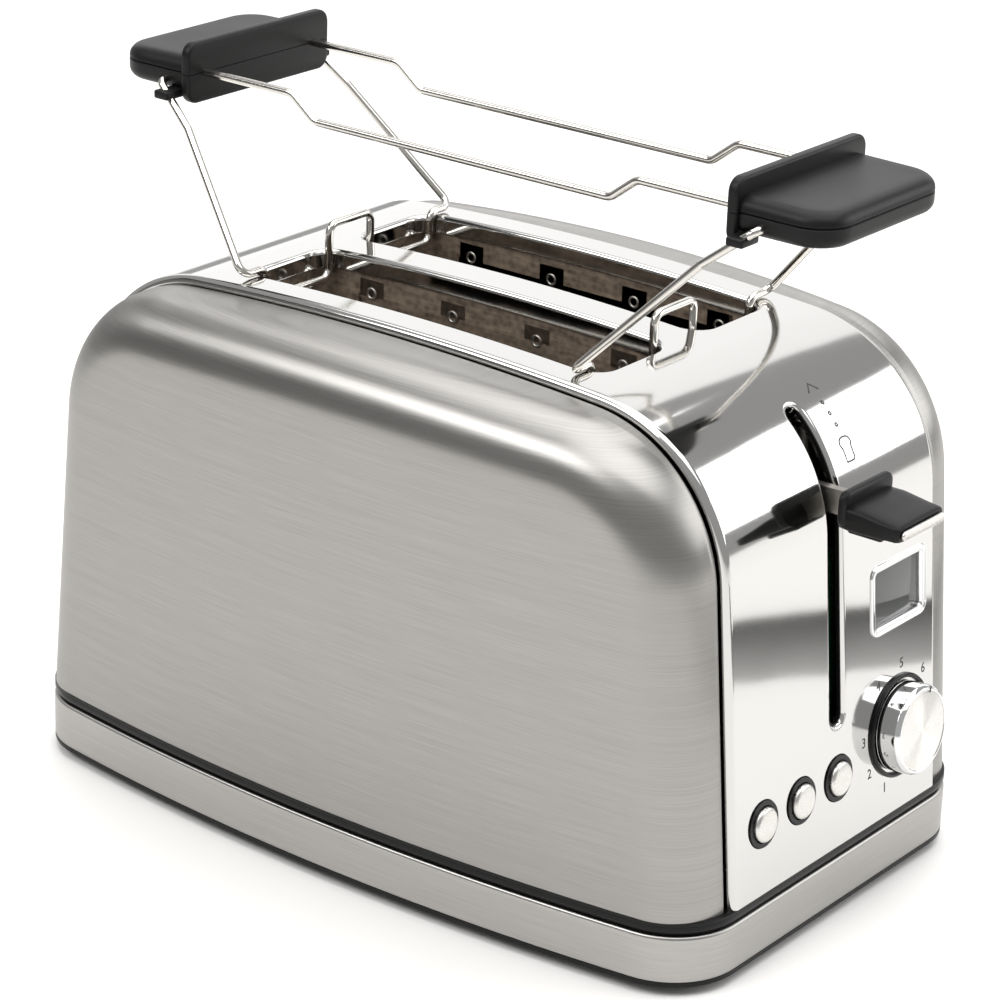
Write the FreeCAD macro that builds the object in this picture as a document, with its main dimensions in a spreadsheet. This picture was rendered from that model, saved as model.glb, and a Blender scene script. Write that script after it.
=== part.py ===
import FreeCAD, Part
import math
import os

import Sketcher
from FreeCAD import Placement, Rotation, Vector

# A two-slot pop-up toaster.  Millimetres.  The origin is on the table, under the middle of the base:
# +X points to the end with the lever, the dial and the buttons, +Y across the slots, +Z up.

SIZES = {
    # base, in plan: bowed long sides and round corners
    "base_len": 277.4, "base_wid": 178.4, "base_corner": 24.4, "base_bow": 837.0,
    "foot_tall": 3.4, "foot_rad": 9.0, "foot_taper": 0.8, "foot_in_x": 22.0, "foot_in_y": 22.5,
    "tub_floor": 2.0, "tub_wall": 2.2, "tub_lip": 1.5,
    "skirt_tall": 15.5, "skirt_wall": 0.9, "skirt_turn": 4.0, "skirt_round": 1.4,
    "deck_gap": 0.1, "deck_groove": 1.4, "deck_groove_in": 1.6, "deck_edge": 2.9, "deck_edge_in": 0.2,
    "chute_len": 172.0, "chute_wid": 102.0,
    # polished wrap: end, crown and end in one sheet
    "crown_top": 178.8, "crown_arc": 1155.0, "end_arc": 52.7, "end_taper": 5.2, "wrap_in": 0.15,
    "wrap_wid": 115.9, "wrap_roll": 2.5, "wrap_flange": 5.0, "sheet": 1.0,
    # bread slots
    "slot_len": 140.0, "slot_wid": 37.0, "bridge_wid": 15.4, "slot_corner": 8.0, "lip_deep": 6.0,
    # pressed side panels
    "panel_gap": 1.2, "panel_in": 2.5, "panel_side_in": 0.4, "panel_round": 20.0, "panel_wall": 0.9,
    # chassis and heating
    "plate_off": 18.0, "plate_wall": 1.0, "plate_wid": 108.0, "plate_top": 160.0, "shelf_reach": 26.0,
    "shelf_wall": 1.2, "shelf_half": 34.0, "board_off": 19.5, "board_wall": 0.8, "board_low": 36.0, "board_top": 164.0,
    "ribbon_wid": 2.4, "ribbon_wall": 0.3, "ribbon_step": 13.0, "reflector_off": 5.0,
    "reflector_wall": 0.6, "reflector_low": 30.0, "reflector_top": 166.0,
    # bread guides
    "guide_off": 15.5, "guide_wire": 0.9, "guide_low": 46.0, "guide_top": 158.0, "guide_half": 72.0,
    "pivot_gap": 0.05,
    # carriage
    "lift_rest": 110.0, "lift_down": 66.0, "lift_extra": 14.0, "lifter_wid": 8.0, "lifter_wall": 1.2,
    "finger_half": 8.0, "finger_wid": 3.0, "finger_rise": 2.0, "pass_gap": 1.2,
    "bracket_off": 8.0, "bracket_wall": 1.4, "bracket_wid": 64.0, "bracket_tall": 46.0,
    "rod_rad": 3.0, "rod_off_x": 14.0, "rod_off_y": 20.0, "rod_gap": 0.06, "bush_wall": 2.0,
    "arm_wall": 3.0, "arm_tall": 8.0, "lever_rise": 29.0, "lever_gap": 2.0, "lever_track": 6.9,
    "track_low": 65.2, "track_top": 164.5, "liner_wid": 20.0, "liner_wall": 1.2,
    "grip_wid": 27.0, "grip_deep": 21.5, "grip_thick": 5.0, "grip_fin": 9.0, "grip_fin_wall": 3.2,
    "grip_claw": 6.0, "insert_wid": 24.0, "insert_tall": 3.0, "insert_wall": 1.0,
    "spring_rad": 3.6, "spring_wire": 0.8, "spring_y": -9.0, "hook_tall": 1.2,
    "magnet_wid": 18.0, "magnet_deep": 14.0, "magnet_gap": 0.5, "core_rad": 3.0, "coil_rad": 6.0,
    "armature_wall": 1.2,
    # control end, measured across and up its sloping face
    "window_y": 35.5, "window_up": 74.3, "window_half_y": 14.6, "window_half_up": 10.4,
    "bezel_edge": 1.7, "bezel_out": 1.6, "bezel_wall": 1.5, "glass_wall": 1.0, "display_deep": 7.4,
    "dial_y": 35.5, "dial_up": 28.6, "dial_rad": 14.7, "dial_out": 8.5, "dial_round": 1.4,
    "ring_rad": 17.15, "ring_wall": 1.7, "ring_out": 1.1, "shaft_rad": 3.0, "pot_rad": 8.0, "pot_deep": 8.6,
    "button_first": -41.6, "button_step": 20.8, "button_up": 23.1, "button_hole": 7.6,
    "button_rad": 5.6, "button_out": 2.2, "button_press": 2.0, "button_gap": 0.4, "stem_rad": 2.0,
    "board_back": 10.6, "circuit_wall": 1.6, "switch_tall": 1.8,
    # warming rack
    "rack_wire": 1.35, "rack_half": 105.4, "rack_wire_y": 26.6, "rack_up": 232.9, "rack_dip": 7.4,
    "dip_from": 68.0, "dip_to": 58.4, "grip_fin_out": 3.6, "grip_fin_half": 34.6, "grip_fin_top": 243.3,
    "grip_fin_low": 223.0, "slab_reach": 31.0, "slab_half": 33.0, "slab_top": 238.0, "slab_low": 226.5,
    "slab_corner": 8.0, "slab_round": 2.6, "leg_top_x": 117.0, "leg_top_up": 229.8, "leg_bend_x": 101.0,
    "leg_bend_y": 39.6, "leg_bend_up": 217.0, "leg_foot_x": 65.5, "leg_foot_y": 53.0, "leg_drop": 168.0,
    "bridge_over": 186.0, "wire_gap": 0.3, "wire_bend": 3.0,
    # crumb tray and cord entry, at the back end
    "tray_low": 7.0, "tray_tall": 8.0, "tray_wall": 0.8, "tray_wid": 92.0, "tray_end": 76.0,
    "tray_clear": 0.8, "tray_plate": 2.2, "tray_grip": 5.0, "entry_y": 59.0, "entry_rad": 5.0,
    "entry_flange": 7.0, "entry_bore": 3.0, "screw_rad": 2.2, "screw_tall": 1.2,
}
BUTTONS = ("button_left", "button_middle", "button_right")
CORNERS = {"front_near": (1, -1), "front_far": (1, 1), "back_near": (-1, -1), "back_far": (-1, 1)}
UP, OUT, ACROSS = Vector(0, 0, 1), Vector(1, 0, 0), Vector(0, 1, 0)

doc = FreeCAD.newDocument("Toaster")
sheet = doc.addObject("Spreadsheet::Sheet", "Sizes")
for row, (alias, number) in enumerate(SIZES.items(), start=1):
    sheet.set(f"A{row}", alias)
    sheet.set(f"B{row}", str(number))
    sheet.setAlias(f"B{row}", alias)
doc.recompute()


class Size:
    """A length that keeps both its number and the sheet formula that it comes from."""

    def __init__(self, text, number):
        self.text, self.number = text, number

    def __add__(self, other):
        other = as_size(other)
        return Size(f"({self.text} + {other.text})", self.number + other.number)

    def __sub__(self, other):
        other = as_size(other)
        return Size(f"({self.text} - {other.text})", self.number - other.number)

    def __mul__(self, other):
        other = as_size(other)
        return Size(f"({self.text} * {other.text})", self.number * other.number)

    def __truediv__(self, other):
        other = as_size(other)
        return Size(f"({self.text} / {other.text})", self.number / other.number)

    def __rsub__(self, other):
        return as_size(other) - self

    def __neg__(self):
        return Size(f"(0 - {self.text})", -self.number)

    def __float__(self):
        return float(self.number)

    __radd__ = __add__
    __rmul__ = __mul__


def as_size(value):
    return value if isinstance(value, Size) else Size(repr(float(value)), float(value))


class Sheet:
    """Gives each cell of the sheet as a Size, by its alias."""

    def __getattr__(self, alias):
        return Size(f"Sizes.{alias}", float(sheet.get(alias)))


d = Sheet()
NODES = {}


def vec(*parts):
    return Vector(*[float(part) for part in parts])


def bind(obj, prop, value):
    """Give a property its number and tie it to the sheet."""
    value = as_size(value)
    setattr(obj, prop, value.number)
    if "Sizes." in value.text:
        obj.setExpression(prop, value.text)


def keep(name, obj):
    """Name the object that is the finished sub-part."""
    obj.Label = name
    NODES[name] = obj
    return obj


# ---------------------------------------------------------------- sketches and bodies

def fix_point(sketch, geo, pos, x, y):
    """Hold a sketch point at x, y from the sketch's origin."""
    for kind, value, axis in (("DistanceX", as_size(x), -2), ("DistanceY", as_size(y), -1)):
        if abs(value.number) < 1e-9:
            sketch.addConstraint(Sketcher.Constraint("PointOnObject", geo, pos, axis))
            continue
        index = sketch.addConstraint(Sketcher.Constraint(kind, -1, 1, geo, pos, value.number))
        if "Sizes." in value.text:
            sketch.setExpression(f"Constraints[{index}]", value.text)


def polygon(sketch, points):
    first = sketch.GeometryCount
    count = len(points)
    for i, (x, y) in enumerate(points):
        to_x, to_y = points[(i + 1) % count]
        sketch.addGeometry(Part.LineSegment(vec(x, y, 0), vec(to_x, to_y, 0)), False)
    for i in range(count):
        following = first + (i + 1) % count
        sketch.addConstraint(Sketcher.Constraint("Coincident", first + i, 2, following, 1))
    for i, (x, y) in enumerate(points):
        fix_point(sketch, first + i, 1, x, y)


def rectangle(sketch, x0, x1, y0, y1):
    polygon(sketch, [(x0, y0), (x1, y0), (x1, y1), (x0, y1)])


def circle(sketch, x, y, radius):
    radius = as_size(radius)
    geo = sketch.addGeometry(Part.Circle(vec(x, y, 0), UP, radius.number), False)
    index = sketch.addConstraint(Sketcher.Constraint("Radius", geo, radius.number))
    if "Sizes." in radius.text:
        sketch.setExpression(f"Constraints[{index}]", radius.text)
    fix_point(sketch, geo, 3, x, y)


def new_body(name):
    return doc.addObject("PartDesign::Body", name)


def origin_feature(body, role):
    return next(item for item in body.Origin.OriginFeatures if item.Role == role)


def new_sketch(body, plane, distance, draw):
    sketch = body.newObject("Sketcher::SketchObject", f"{body.Name}_sketch")
    sketch.AttachmentSupport = (origin_feature(body, f"{plane}_Plane"), [""])
    sketch.MapMode = "FlatFace"
    distance = as_size(distance)
    sketch.AttachmentOffset = Placement(Vector(0, 0, distance.number), Rotation())
    if "Sizes." in distance.text:
        sketch.setExpression("AttachmentOffset.Base.z", distance.text)
    draw(sketch)
    return sketch


def add(body, plane, low, high, draw):
    """Pad a sketch from low to high, along the plane's own axis of the row frame."""
    distance = -high if plane == "XZ" else low
    pad = body.newObject("PartDesign::Pad", f"{body.Name}_pad")
    pad.Profile = new_sketch(body, plane, distance, draw)
    bind(pad, "Length", high - low)
    doc.recompute()
    return pad


def remove(body, plane, low, high, draw):
    """Pocket a sketch from low to high, along the plane's own axis of the row frame."""
    before = body.Shape.Volume
    distance = -low if plane == "XZ" else high
    pocket = body.newObject("PartDesign::Pocket", f"{body.Name}_pocket")
    pocket.Profile = new_sketch(body, plane, distance, draw)
    bind(pocket, "Length", high - low)
    doc.recompute()
    if body.Shape.Volume >= before:
        raise ValueError(f"{body.Name}: a pocket cuts nothing")
    return pocket


def repeat(body, feature, axis, length, count):
    pattern = body.newObject("PartDesign::LinearPattern", f"{body.Name}_row")
    pattern.Originals = [feature]
    pattern.Direction = (origin_feature(body, f"{axis}_Axis"), [""])
    bind(pattern, "Length", length)
    pattern.Occurrences = count
    body.Tip = pattern
    doc.recompute()
    return pattern


def edge_names(shape, wanted):
    return [f"Edge{i}" for i, edge in enumerate(shape.Edges, start=1) if wanted(edge)]


def round_edges(body, feature, radius, wanted):
    names = edge_names(feature.Shape, wanted)
    if not names:
        raise ValueError(f"{body.Name}: no edge to round")
    fillet = body.newObject("PartDesign::Fillet", f"{body.Name}_fillet")
    fillet.Base = (feature, names)
    bind(fillet, "Radius", radius)
    doc.recompute()
    return fillet


def is_upright(edge):
    return abs(abs(edge.tangentAt(edge.FirstParameter).z) - 1) < 1e-6 and len(edge.Vertexes) == 2


# ---------------------------------------------------------------- primitives and booleans

def place(obj, position, turn=None):
    obj.Placement = Placement(vec(*position), turn or Rotation())
    return obj


def block(name, x0, x1, y0, y1, z0, z1, frame=None):
    obj = doc.addObject("Part::Box", name)
    for prop, low, high in (("Length", x0, x1), ("Width", y0, y1), ("Height", z0, z1)):
        bind(obj, prop, high - low)
    obj.Placement = (frame or Placement()).multiply(Placement(vec(x0, y0, z0), Rotation()))
    return obj


def drum(name, radius, low, high, x=0, y=0, z=0, axis="Z", frame=None):
    """A cylinder that runs from low to high along its axis."""
    obj = doc.addObject("Part::Cylinder", name)
    bind(obj, "Radius", radius)
    bind(obj, "Height", high - low)
    spot = {"X": (low, y, z), "Y": (x, low, z), "Z": (x, y, low)}[axis]
    turn = {"X": Rotation(ACROSS, 90), "Y": Rotation(OUT, -90), "Z": Rotation()}[axis]
    obj.Placement = (frame or Placement()).multiply(Placement(vec(*spot), turn))
    return obj


def fused(name, parts):
    obj = doc.addObject("Part::MultiFuse", name)
    obj.Shapes = parts
    obj.Refine = True
    return obj


def cut(name, base, tools):
    obj = doc.addObject("Part::Cut", name)
    obj.Base = base
    obj.Tool = tools[0] if len(tools) == 1 else fused(f"{name}_tools", tools)
    return obj


def grouped(name, parts):
    obj = doc.addObject("Part::Compound", name)
    obj.Links = parts
    return obj


def feature(name, shape):
    """A shape that no sketch or primitive gives: an arch, a bowed outline or a bent wire."""
    obj = doc.addObject("Part::Feature", name)
    obj.Shape = shape
    obj.Placement = Placement()
    return obj


# ---------------------------------------------------------------- the arch, the plan and the wires

FLOOR_TOP = d.foot_tall + d.tub_floor
SKIRT_LOW = d.foot_tall + d.tub_lip
SKIRT_TOP = SKIRT_LOW + d.skirt_tall
DECK_LOW = SKIRT_TOP + d.deck_gap
DECK_TOP = DECK_LOW + d.deck_groove + d.deck_edge
END_X = d.base_len / 2 - d.wrap_in
HALF_WRAP = d.wrap_wid / 2
SLOT_Y = (d.bridge_wid + d.slot_wid) / 2
TILT = math.radians(float(d.end_taper))
FACE = Placement(vec(END_X, 0, DECK_TOP), Rotation(ACROSS, -float(d.end_taper)))


def arch_curve():
    """Centre of the crown arc, centre of the end arc, and the end face's outward and upward directions."""
    outward, upward = Vector(math.cos(TILT), 0, math.sin(TILT)), Vector(-math.sin(TILT), 0, math.cos(TILT))
    crown = vec(0, 0, d.crown_top - d.crown_arc)
    start = vec(END_X, 0, DECK_TOP) - outward * float(d.end_arc)
    away = start - crown
    reach = float(d.crown_arc) - float(d.end_arc)
    along = away.dot(upward)
    end = start + upward * (-along + math.sqrt(along ** 2 - away.dot(away) + reach ** 2))
    return crown, end, outward, upward


def arch(inset, low, y0, y1):
    """Solid under the arch: sloping ends, round shoulders and a crowned top, from y0 to y1."""
    crown, end, outward, upward = arch_curve()
    inset, low = float(inset), float(low)
    foot = vec(END_X, 0, DECK_TOP) - outward * inset
    foot = foot + upward * ((low - foot.z) / upward.z)
    radius, crown_radius = float(d.end_arc) - inset, float(d.crown_arc) - inset
    shoulder = (end - crown).normalize()
    middle = (outward + shoulder).normalize()
    right = [foot, end + outward * radius, end + middle * radius, end + shoulder * radius]
    left = [Vector(-p.x, 0, p.z) for p in right]
    apex = crown + UP * crown_radius
    edges = [
        Part.makeLine(left[0], right[0]), Part.makeLine(right[0], right[1]),
        Part.Arc(right[1], right[2], right[3]).toShape(), Part.Arc(right[3], apex, left[3]).toShape(),
        Part.Arc(left[3], left[2], left[1]).toShape(), Part.makeLine(left[1], left[0]),
    ]
    face = Part.Face(Part.Wire(edges))
    face.translate(vec(0, y0, 0))
    return face.extrude(vec(0, float(y1) - float(y0), 0))


def plan(inset, low, high):
    """Upright solid with the base's outline in plan: straight ends, bowed sides, round corners."""
    inset = float(inset)
    half, radius = float(d.base_len) / 2 - inset, float(d.base_corner) - inset
    bow = float(d.base_bow) - inset
    middle_y = float(d.base_wid) / 2 - inset - bow
    corner_x = half - radius
    corner_y = middle_y + math.sqrt((bow - radius) ** 2 - corner_x ** 2)
    toward = Vector(corner_x, corner_y - middle_y, 0).normalize()
    corner = Vector(corner_x, corner_y, 0)
    quarter = [Vector(half, corner_y, 0), corner + (OUT + toward).normalize() * radius, corner + toward * radius]
    side = Vector(0, middle_y + bow, 0)
    edges = []
    for sx, sy in ((1, 1), (-1, 1), (-1, -1), (1, -1)):
        edges.append(Part.Arc(*[Vector(p.x * sx, p.y * sy, 0) for p in quarter]).toShape())
    ends = [Vector(p.x, p.y, 0) for p in (quarter[0], quarter[2])]
    for sign in (1, -1):
        edges.append(Part.Arc(Vector(ends[1].x, ends[1].y * sign, 0), side * sign,
                              Vector(-ends[1].x, ends[1].y * sign, 0)).toShape())
        edges.append(Part.makeLine(Vector(half * sign, ends[0].y, 0), Vector(half * sign, -ends[0].y, 0)))
    wire = Part.Wire(Part.__sortEdges__(edges))
    wire.translate(vec(0, 0, low))
    return Part.Face(wire).extrude(vec(0, 0, float(high) - float(low)))


def rounded_box(x0, x1, y0, y1, z0, z1, radius):
    """Box with its upright edges rounded."""
    box = Part.makeBox(float(x1) - float(x0), float(y1) - float(y0), float(z1) - float(z0), vec(x0, y0, z0))
    return box.makeFillet(float(radius), [edge for edge in box.Edges if is_upright(edge)])


def bent_wire(points, bend, radius):
    """Round wire along straight runs joined by tangent arcs."""
    bend, radius = float(bend), float(radius)
    edges, start = [], points[0]
    for before, here, after in zip(points, points[1:], points[2:]):
        inward, outward = (here - before).normalize(), (after - here).normalize()
        turn = inward.getAngle(outward)
        back = bend * math.tan(turn / 2)
        first, last = here - inward * back, here + outward * back
        sweep = (outward - inward).normalize()
        centre = here + sweep * (bend / math.cos(turn / 2))
        edges += [Part.makeLine(start, first), Part.Arc(first, centre - sweep * bend, last).toShape()]
        start = last
    edges.append(Part.makeLine(start, points[-1]))
    path = Part.Wire(edges)
    section = Part.Wire([Part.Circle(points[0], points[1] - points[0], radius).toShape()])
    solid = path.makePipeShell([section], True, False)
    expected = path.Length * math.pi * radius ** 2
    if abs(solid.Volume - expected) > 0.01 * expected:
        raise ValueError("a bent wire has the wrong volume")
    return solid


def mirrored(shape, direction):
    return shape.mirror(Vector(), direction)


# ---------------------------------------------------------------- base

def tray_opening(clear):
    """The way through the skirt and the tub for the crumb tray."""
    half = float(d.tray_wid / 2 + clear)
    low, tall = float(d.tray_low - clear), float(d.tray_tall + clear * 2)
    return Part.makeBox(40, half * 2, tall, Vector(-float(d.base_len) / 2 - 10, -half, low))


def entry_opening(radius):
    middle = float(d.tray_low + d.tray_tall / 2 + 2)
    start = vec(-(d.base_len / 2) - 10, d.entry_y, middle)
    return Part.makeCylinder(float(radius), 40, start, OUT)


def make_feet():
    for corner, (sx, sy) in CORNERS.items():
        foot = doc.addObject("Part::Cone", f"foot_{corner}")
        bind(foot, "Radius1", d.foot_rad - d.foot_taper)
        bind(foot, "Radius2", d.foot_rad)
        bind(foot, "Height", d.foot_tall)
        spot = (d.base_len / 2 - d.foot_in_x) * sx, (d.base_wid / 2 - d.foot_in_y) * sy, 0
        keep(f"foot_{corner}", place(foot, spot))


def make_base():
    lip = plan(0, d.foot_tall, SKIRT_LOW)
    wall = plan(d.skirt_wall + 0.1, d.foot_tall, SKIRT_TOP - 1.0)
    hollow = plan(d.skirt_wall + 0.1 + d.tub_wall, FLOOR_TOP, SKIRT_TOP)
    tub = lip.fuse(wall).removeSplitter().cut(hollow)
    tub = tub.cut(tray_opening(d.tray_clear)).cut(entry_opening(d.entry_rad))
    keep("base_tub", feature("base_tub", tub))

    skirt = plan(0, SKIRT_LOW, SKIRT_TOP)
    rim = [edge for edge in skirt.Edges if abs(edge.BoundBox.ZMin - float(SKIRT_TOP)) < 1e-6]
    skirt = skirt.makeFillet(float(d.skirt_round), rim)
    skirt = skirt.cut(plan(d.skirt_wall, SKIRT_LOW - 1, SKIRT_TOP - d.skirt_wall))
    skirt = skirt.cut(plan(d.skirt_turn, SKIRT_LOW - 1, SKIRT_TOP + 1))
    skirt = skirt.cut(tray_opening(d.tray_clear)).cut(entry_opening(d.entry_rad))
    keep("base_skirt", feature("base_skirt", skirt))

    groove = plan(d.deck_groove_in, DECK_LOW, DECK_LOW + d.deck_groove)
    edge = plan(d.deck_edge_in, DECK_LOW + d.deck_groove, DECK_TOP)
    chute = Part.makeBox(float(d.chute_len), float(d.chute_wid), 20,
                         vec(-(d.chute_len / 2), -(d.chute_wid / 2), DECK_LOW - 5))
    keep("base_deck", feature("base_deck", groove.fuse(edge).removeSplitter().cut(chute)))


def make_crumb_tray():
    half = d.tray_wid / 2
    back = -(d.base_len / 2)
    top = d.tray_low + d.tray_tall
    tray = new_body("crumb_tray")
    add(tray, "XY", d.tray_low, top, lambda s: rectangle(s, back, d.tray_end, -half, half))
    remove(tray, "XY", d.tray_low + d.tray_wall, top,
           lambda s: rectangle(s, back + d.tray_wall, d.tray_end - d.tray_wall,
                               d.tray_wall - half, half - d.tray_wall))
    keep("crumb_tray", tray)
    pull = new_body("crumb_tray_pull")
    face = back - d.tray_plate
    plate = add(pull, "YZ", face, back, lambda s: rectangle(s, -(half + 3), half + 3, d.tray_low - 1.5, top + 1.5))
    round_edges(pull, plate, 2.0, lambda e: abs(abs(e.tangentAt(e.FirstParameter).x) - 1) < 1e-6)
    grip_low = d.tray_low + d.tray_tall / 2 - 1
    add(pull, "XY", grip_low, grip_low + 2,
        lambda s: rectangle(s, face - d.tray_grip, face, -20, 20))
    keep("crumb_tray_pull", pull)


def make_cord_entry():
    middle = d.tray_low + d.tray_tall / 2 + 2
    back = -(d.base_len / 2)
    neck = drum("entry_neck", d.entry_rad - 0.05, back, back + 7, y=d.entry_y, z=middle, axis="X")
    flange = drum("entry_flange", d.entry_flange, back - 1.6, back, y=d.entry_y, z=middle, axis="X")
    bore = drum("entry_bore", d.entry_bore, back - 3, back + 9, y=d.entry_y, z=middle, axis="X")
    keep("cord_entry", cut("cord_entry", fused("entry_solid", [neck, flange]), [bore]))


def make_base_screws():
    """Heads of the screws that close the tub, set in its floor from below."""
    heads = []
    for sx in (1, -1):
        for sy in (1, -1):
            for x, y in ((96.0, 74.0), (118.0, 34.0)):
                heads.append(drum("screw_head", d.screw_rad * 1.6, d.foot_tall - d.screw_tall, d.foot_tall,
                                  x=x * sx, y=y * sy))
    keep("base_screws", grouped("base_screws", heads))


# ---------------------------------------------------------------- wrap and side panels

def slot_box(side, grow, low, high):
    half_wid, half_len = float(d.slot_wid) / 2 + grow, float(d.slot_len) / 2 + grow
    middle = float(SLOT_Y) * side
    return rounded_box(-half_len, half_len, middle - half_wid, middle + half_wid, low, high,
                       float(d.slot_corner) + grow)


def lever_track(grow, near, far):
    """Upright slot with round ends that the lever's arm runs in, along X from near to far."""
    half = float(d.lever_track) / 2 + grow
    low, top = float(d.track_low) - grow + half, float(d.track_top) + grow - half
    near, far = float(near), float(far)
    run = Part.makeBox(far - near, half * 2, top - low, Vector(near, -half, low))
    for height in (low, top):
        run = run.fuse(Part.makeCylinder(half, far - near, Vector(near, 0, height), OUT))
    return run.removeSplitter()


def on_face(shape):
    shape.Placement = FACE.multiply(shape.Placement)
    return shape


def make_wrap():
    wide, sheet_wall = float(HALF_WRAP), float(d.sheet)
    low, under = DECK_TOP, DECK_TOP - 5
    solid = arch(0, low, -wide, wide)
    rims = [e for e in solid.Edges
            if abs(abs(e.CenterOfMass.y) - wide) < 1e-6 and e.BoundBox.ZMax > float(low) + 1]
    solid = solid.makeFillet(float(d.wrap_roll), rims)
    shell = solid.cut(arch(sheet_wall, under, sheet_wall - wide, wide - sheet_wall))
    shell = shell.cut(arch(d.wrap_flange, under, -wide - 5, wide + 5))
    crown, lip_low = float(d.crown_top), float(d.crown_top - d.lip_deep)
    under_crown = arch(sheet_wall / 2, low, -wide + 5, wide - 5)
    for side in (-1, 1):
        hole = slot_box(side, 0, lip_low - 20, crown + 10)
        lip = slot_box(side, sheet_wall, lip_low, crown + 5).common(under_crown)
        shell = shell.fuse(lip).cut(hole)
    shell = shell.cut(lever_track(0, d.slot_len / 2 + 25, END_X + 20))
    half_y, half_up = float(d.window_half_y) + 0.2, float(d.window_half_up) + 0.2
    window = Part.makeBox(20, half_y * 2, half_up * 2,
                          vec(-10, d.window_y - half_y, d.window_up - half_up))
    shell = shell.cut(on_face(window))
    holes = [(d.dial_y, d.dial_up, d.shaft_rad + 1)]
    holes += [(d.button_first + d.button_step * i, d.button_up, d.button_hole) for i in range(len(BUTTONS))]
    for y, up, radius in holes:
        shell = shell.cut(on_face(Part.makeCylinder(float(radius), 20, vec(-10, y, up), OUT)))
    keep("wrap_shell", feature("wrap_shell", shell.removeSplitter()))


def panel_solid(grow, low):
    """Domed pressing on the -Y side: the arch, cut by the bowed front and rounded all along it."""
    start = -(HALF_WRAP + d.panel_gap)
    inner_y = float(start) + (5.0 if grow < 0 else 0.0)
    solid = arch(float(d.panel_in) - grow, low, -float(d.base_wid), inner_y)
    bow = float(d.base_bow) - float(d.panel_side_in) + grow
    middle = float(d.base_bow) - float(d.base_wid) / 2
    front = Part.makeCylinder(bow, 400, Vector(0, middle, float(low) - 10), UP)
    solid = solid.common(front)

    def is_front(edge):
        spot = edge.CenterOfMass
        on_bow = abs(math.hypot(edge.Vertexes[0].X, edge.Vertexes[0].Y - middle) - bow) < 1e-3
        level = edge.BoundBox.ZMax < float(low) + 1e-3
        return on_bow and not level and spot.y < inner_y - 5

    return solid.makeFillet(float(d.panel_round) + grow, [e for e in solid.Edges if is_front(e)])


def make_side_panels():
    shell = panel_solid(0.0, DECK_TOP).cut(panel_solid(-float(d.panel_wall), DECK_TOP - 5))
    keep("side_panel_near", feature("side_panel_near", shell))
    keep("side_panel_far", feature("side_panel_far", mirrored(shell, ACROSS)))


# ---------------------------------------------------------------- chassis and heating

PLATE_X = d.slot_len / 2 + d.plate_off
RODS_TOP = d.plate_top - 2
BOARD_FACES = {"near_outer": (-1, 1), "near_inner": (-1, -1), "far_inner": (1, -1), "far_outer": (1, 1)}


def board_span(side, way):
    """Low and high Y of a heater board: side picks the slot, way picks its outer or inner wall."""
    face = (SLOT_Y + d.board_off * way) * side
    back = (SLOT_Y + (d.board_off + d.board_wall) * way) * side
    return (face, back) if float(face) < float(back) else (back, face)


def guide_y(side, way):
    return (SLOT_Y + d.guide_off * way) * side


def make_chassis():
    half = d.plate_wid / 2
    ways = [guide_y(*key) for key in BOARD_FACES.values()]
    low_gap = d.lift_rest - d.lift_down - d.lifter_wall - 3
    top_gap = d.lift_rest + d.lift_extra + d.finger_rise + 3
    passage = d.lifter_wid / 2 + d.pass_gap

    def holes(sketch):
        for side in (-1, 1):
            rectangle(sketch, SLOT_Y * side - passage, SLOT_Y * side + passage, low_gap, top_gap)
        for y in ways:
            circle(sketch, y, d.guide_low, d.guide_wire + d.pivot_gap)

    for name, low in (("chassis_plate_front", PLATE_X), ("chassis_plate_back", -(PLATE_X + d.plate_wall))):
        plate = new_body(name)
        high = low + d.plate_wall
        add(plate, "YZ", low, high, lambda s: rectangle(s, -half, half, DECK_TOP, d.plate_top))
        remove(plate, "YZ", low, high, holes)
        if name == "chassis_plate_front":
            rod_seat = ROD_X + d.rod_rad + 3
            for shelf, reach, half_wid in ((DECK_TOP, PLATE_X + d.shelf_reach, d.shelf_half),
                                           (RODS_TOP, rod_seat, d.rod_off_y + 7)):
                add(plate, "XY", shelf, shelf + d.shelf_wall,
                    lambda s: rectangle(s, high, reach, -half_wid, half_wid))
        keep(name, plate)


def make_heaters():
    ribbons = []
    for name, (side, way) in BOARD_FACES.items():
        low, high = board_span(side, way)
        board = new_body(f"heater_{name}")
        add(board, "XZ", low, high,
            lambda s: rectangle(s, -PLATE_X, PLATE_X, d.board_low, d.board_top))

        def vents(sketch):
            for x in (-54, -18, 18, 54):
                rectangle(sketch, x - 7, x + 7, d.board_top - 9, d.board_top - 6)
                circle(sketch, x + 18, d.board_top - 20, 1.6)

        remove(board, "XZ", low, high, vents)
        keep(f"heater_{name}", board)
        inward = way * side
        for row in range(8):
            rise = d.board_low + 8 + d.ribbon_step * row
            face = low if inward > 0 else high
            y0, y1 = (face - d.ribbon_wall, face) if inward > 0 else (face, face + d.ribbon_wall)
            ribbons.append(block("ribbon", -64, 64, y0, y1, rise, rise + d.ribbon_wid))
    keep("heater_ribbons", grouped("heater_ribbons", ribbons))


def make_reflectors():
    for name, side in (("near", -1), ("far", 1)):
        inner = (SLOT_Y + d.board_off + d.board_wall + d.reflector_off) * side
        outer = inner + d.reflector_wall * side
        low, high = (outer, inner) if side < 0 else (inner, outer)
        reflector = new_body(f"reflector_{name}")
        add(reflector, "XZ", low, high,
            lambda s: rectangle(s, -PLATE_X, PLATE_X, d.reflector_low, d.reflector_top))
        keep(f"reflector_{name}", reflector)


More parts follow.
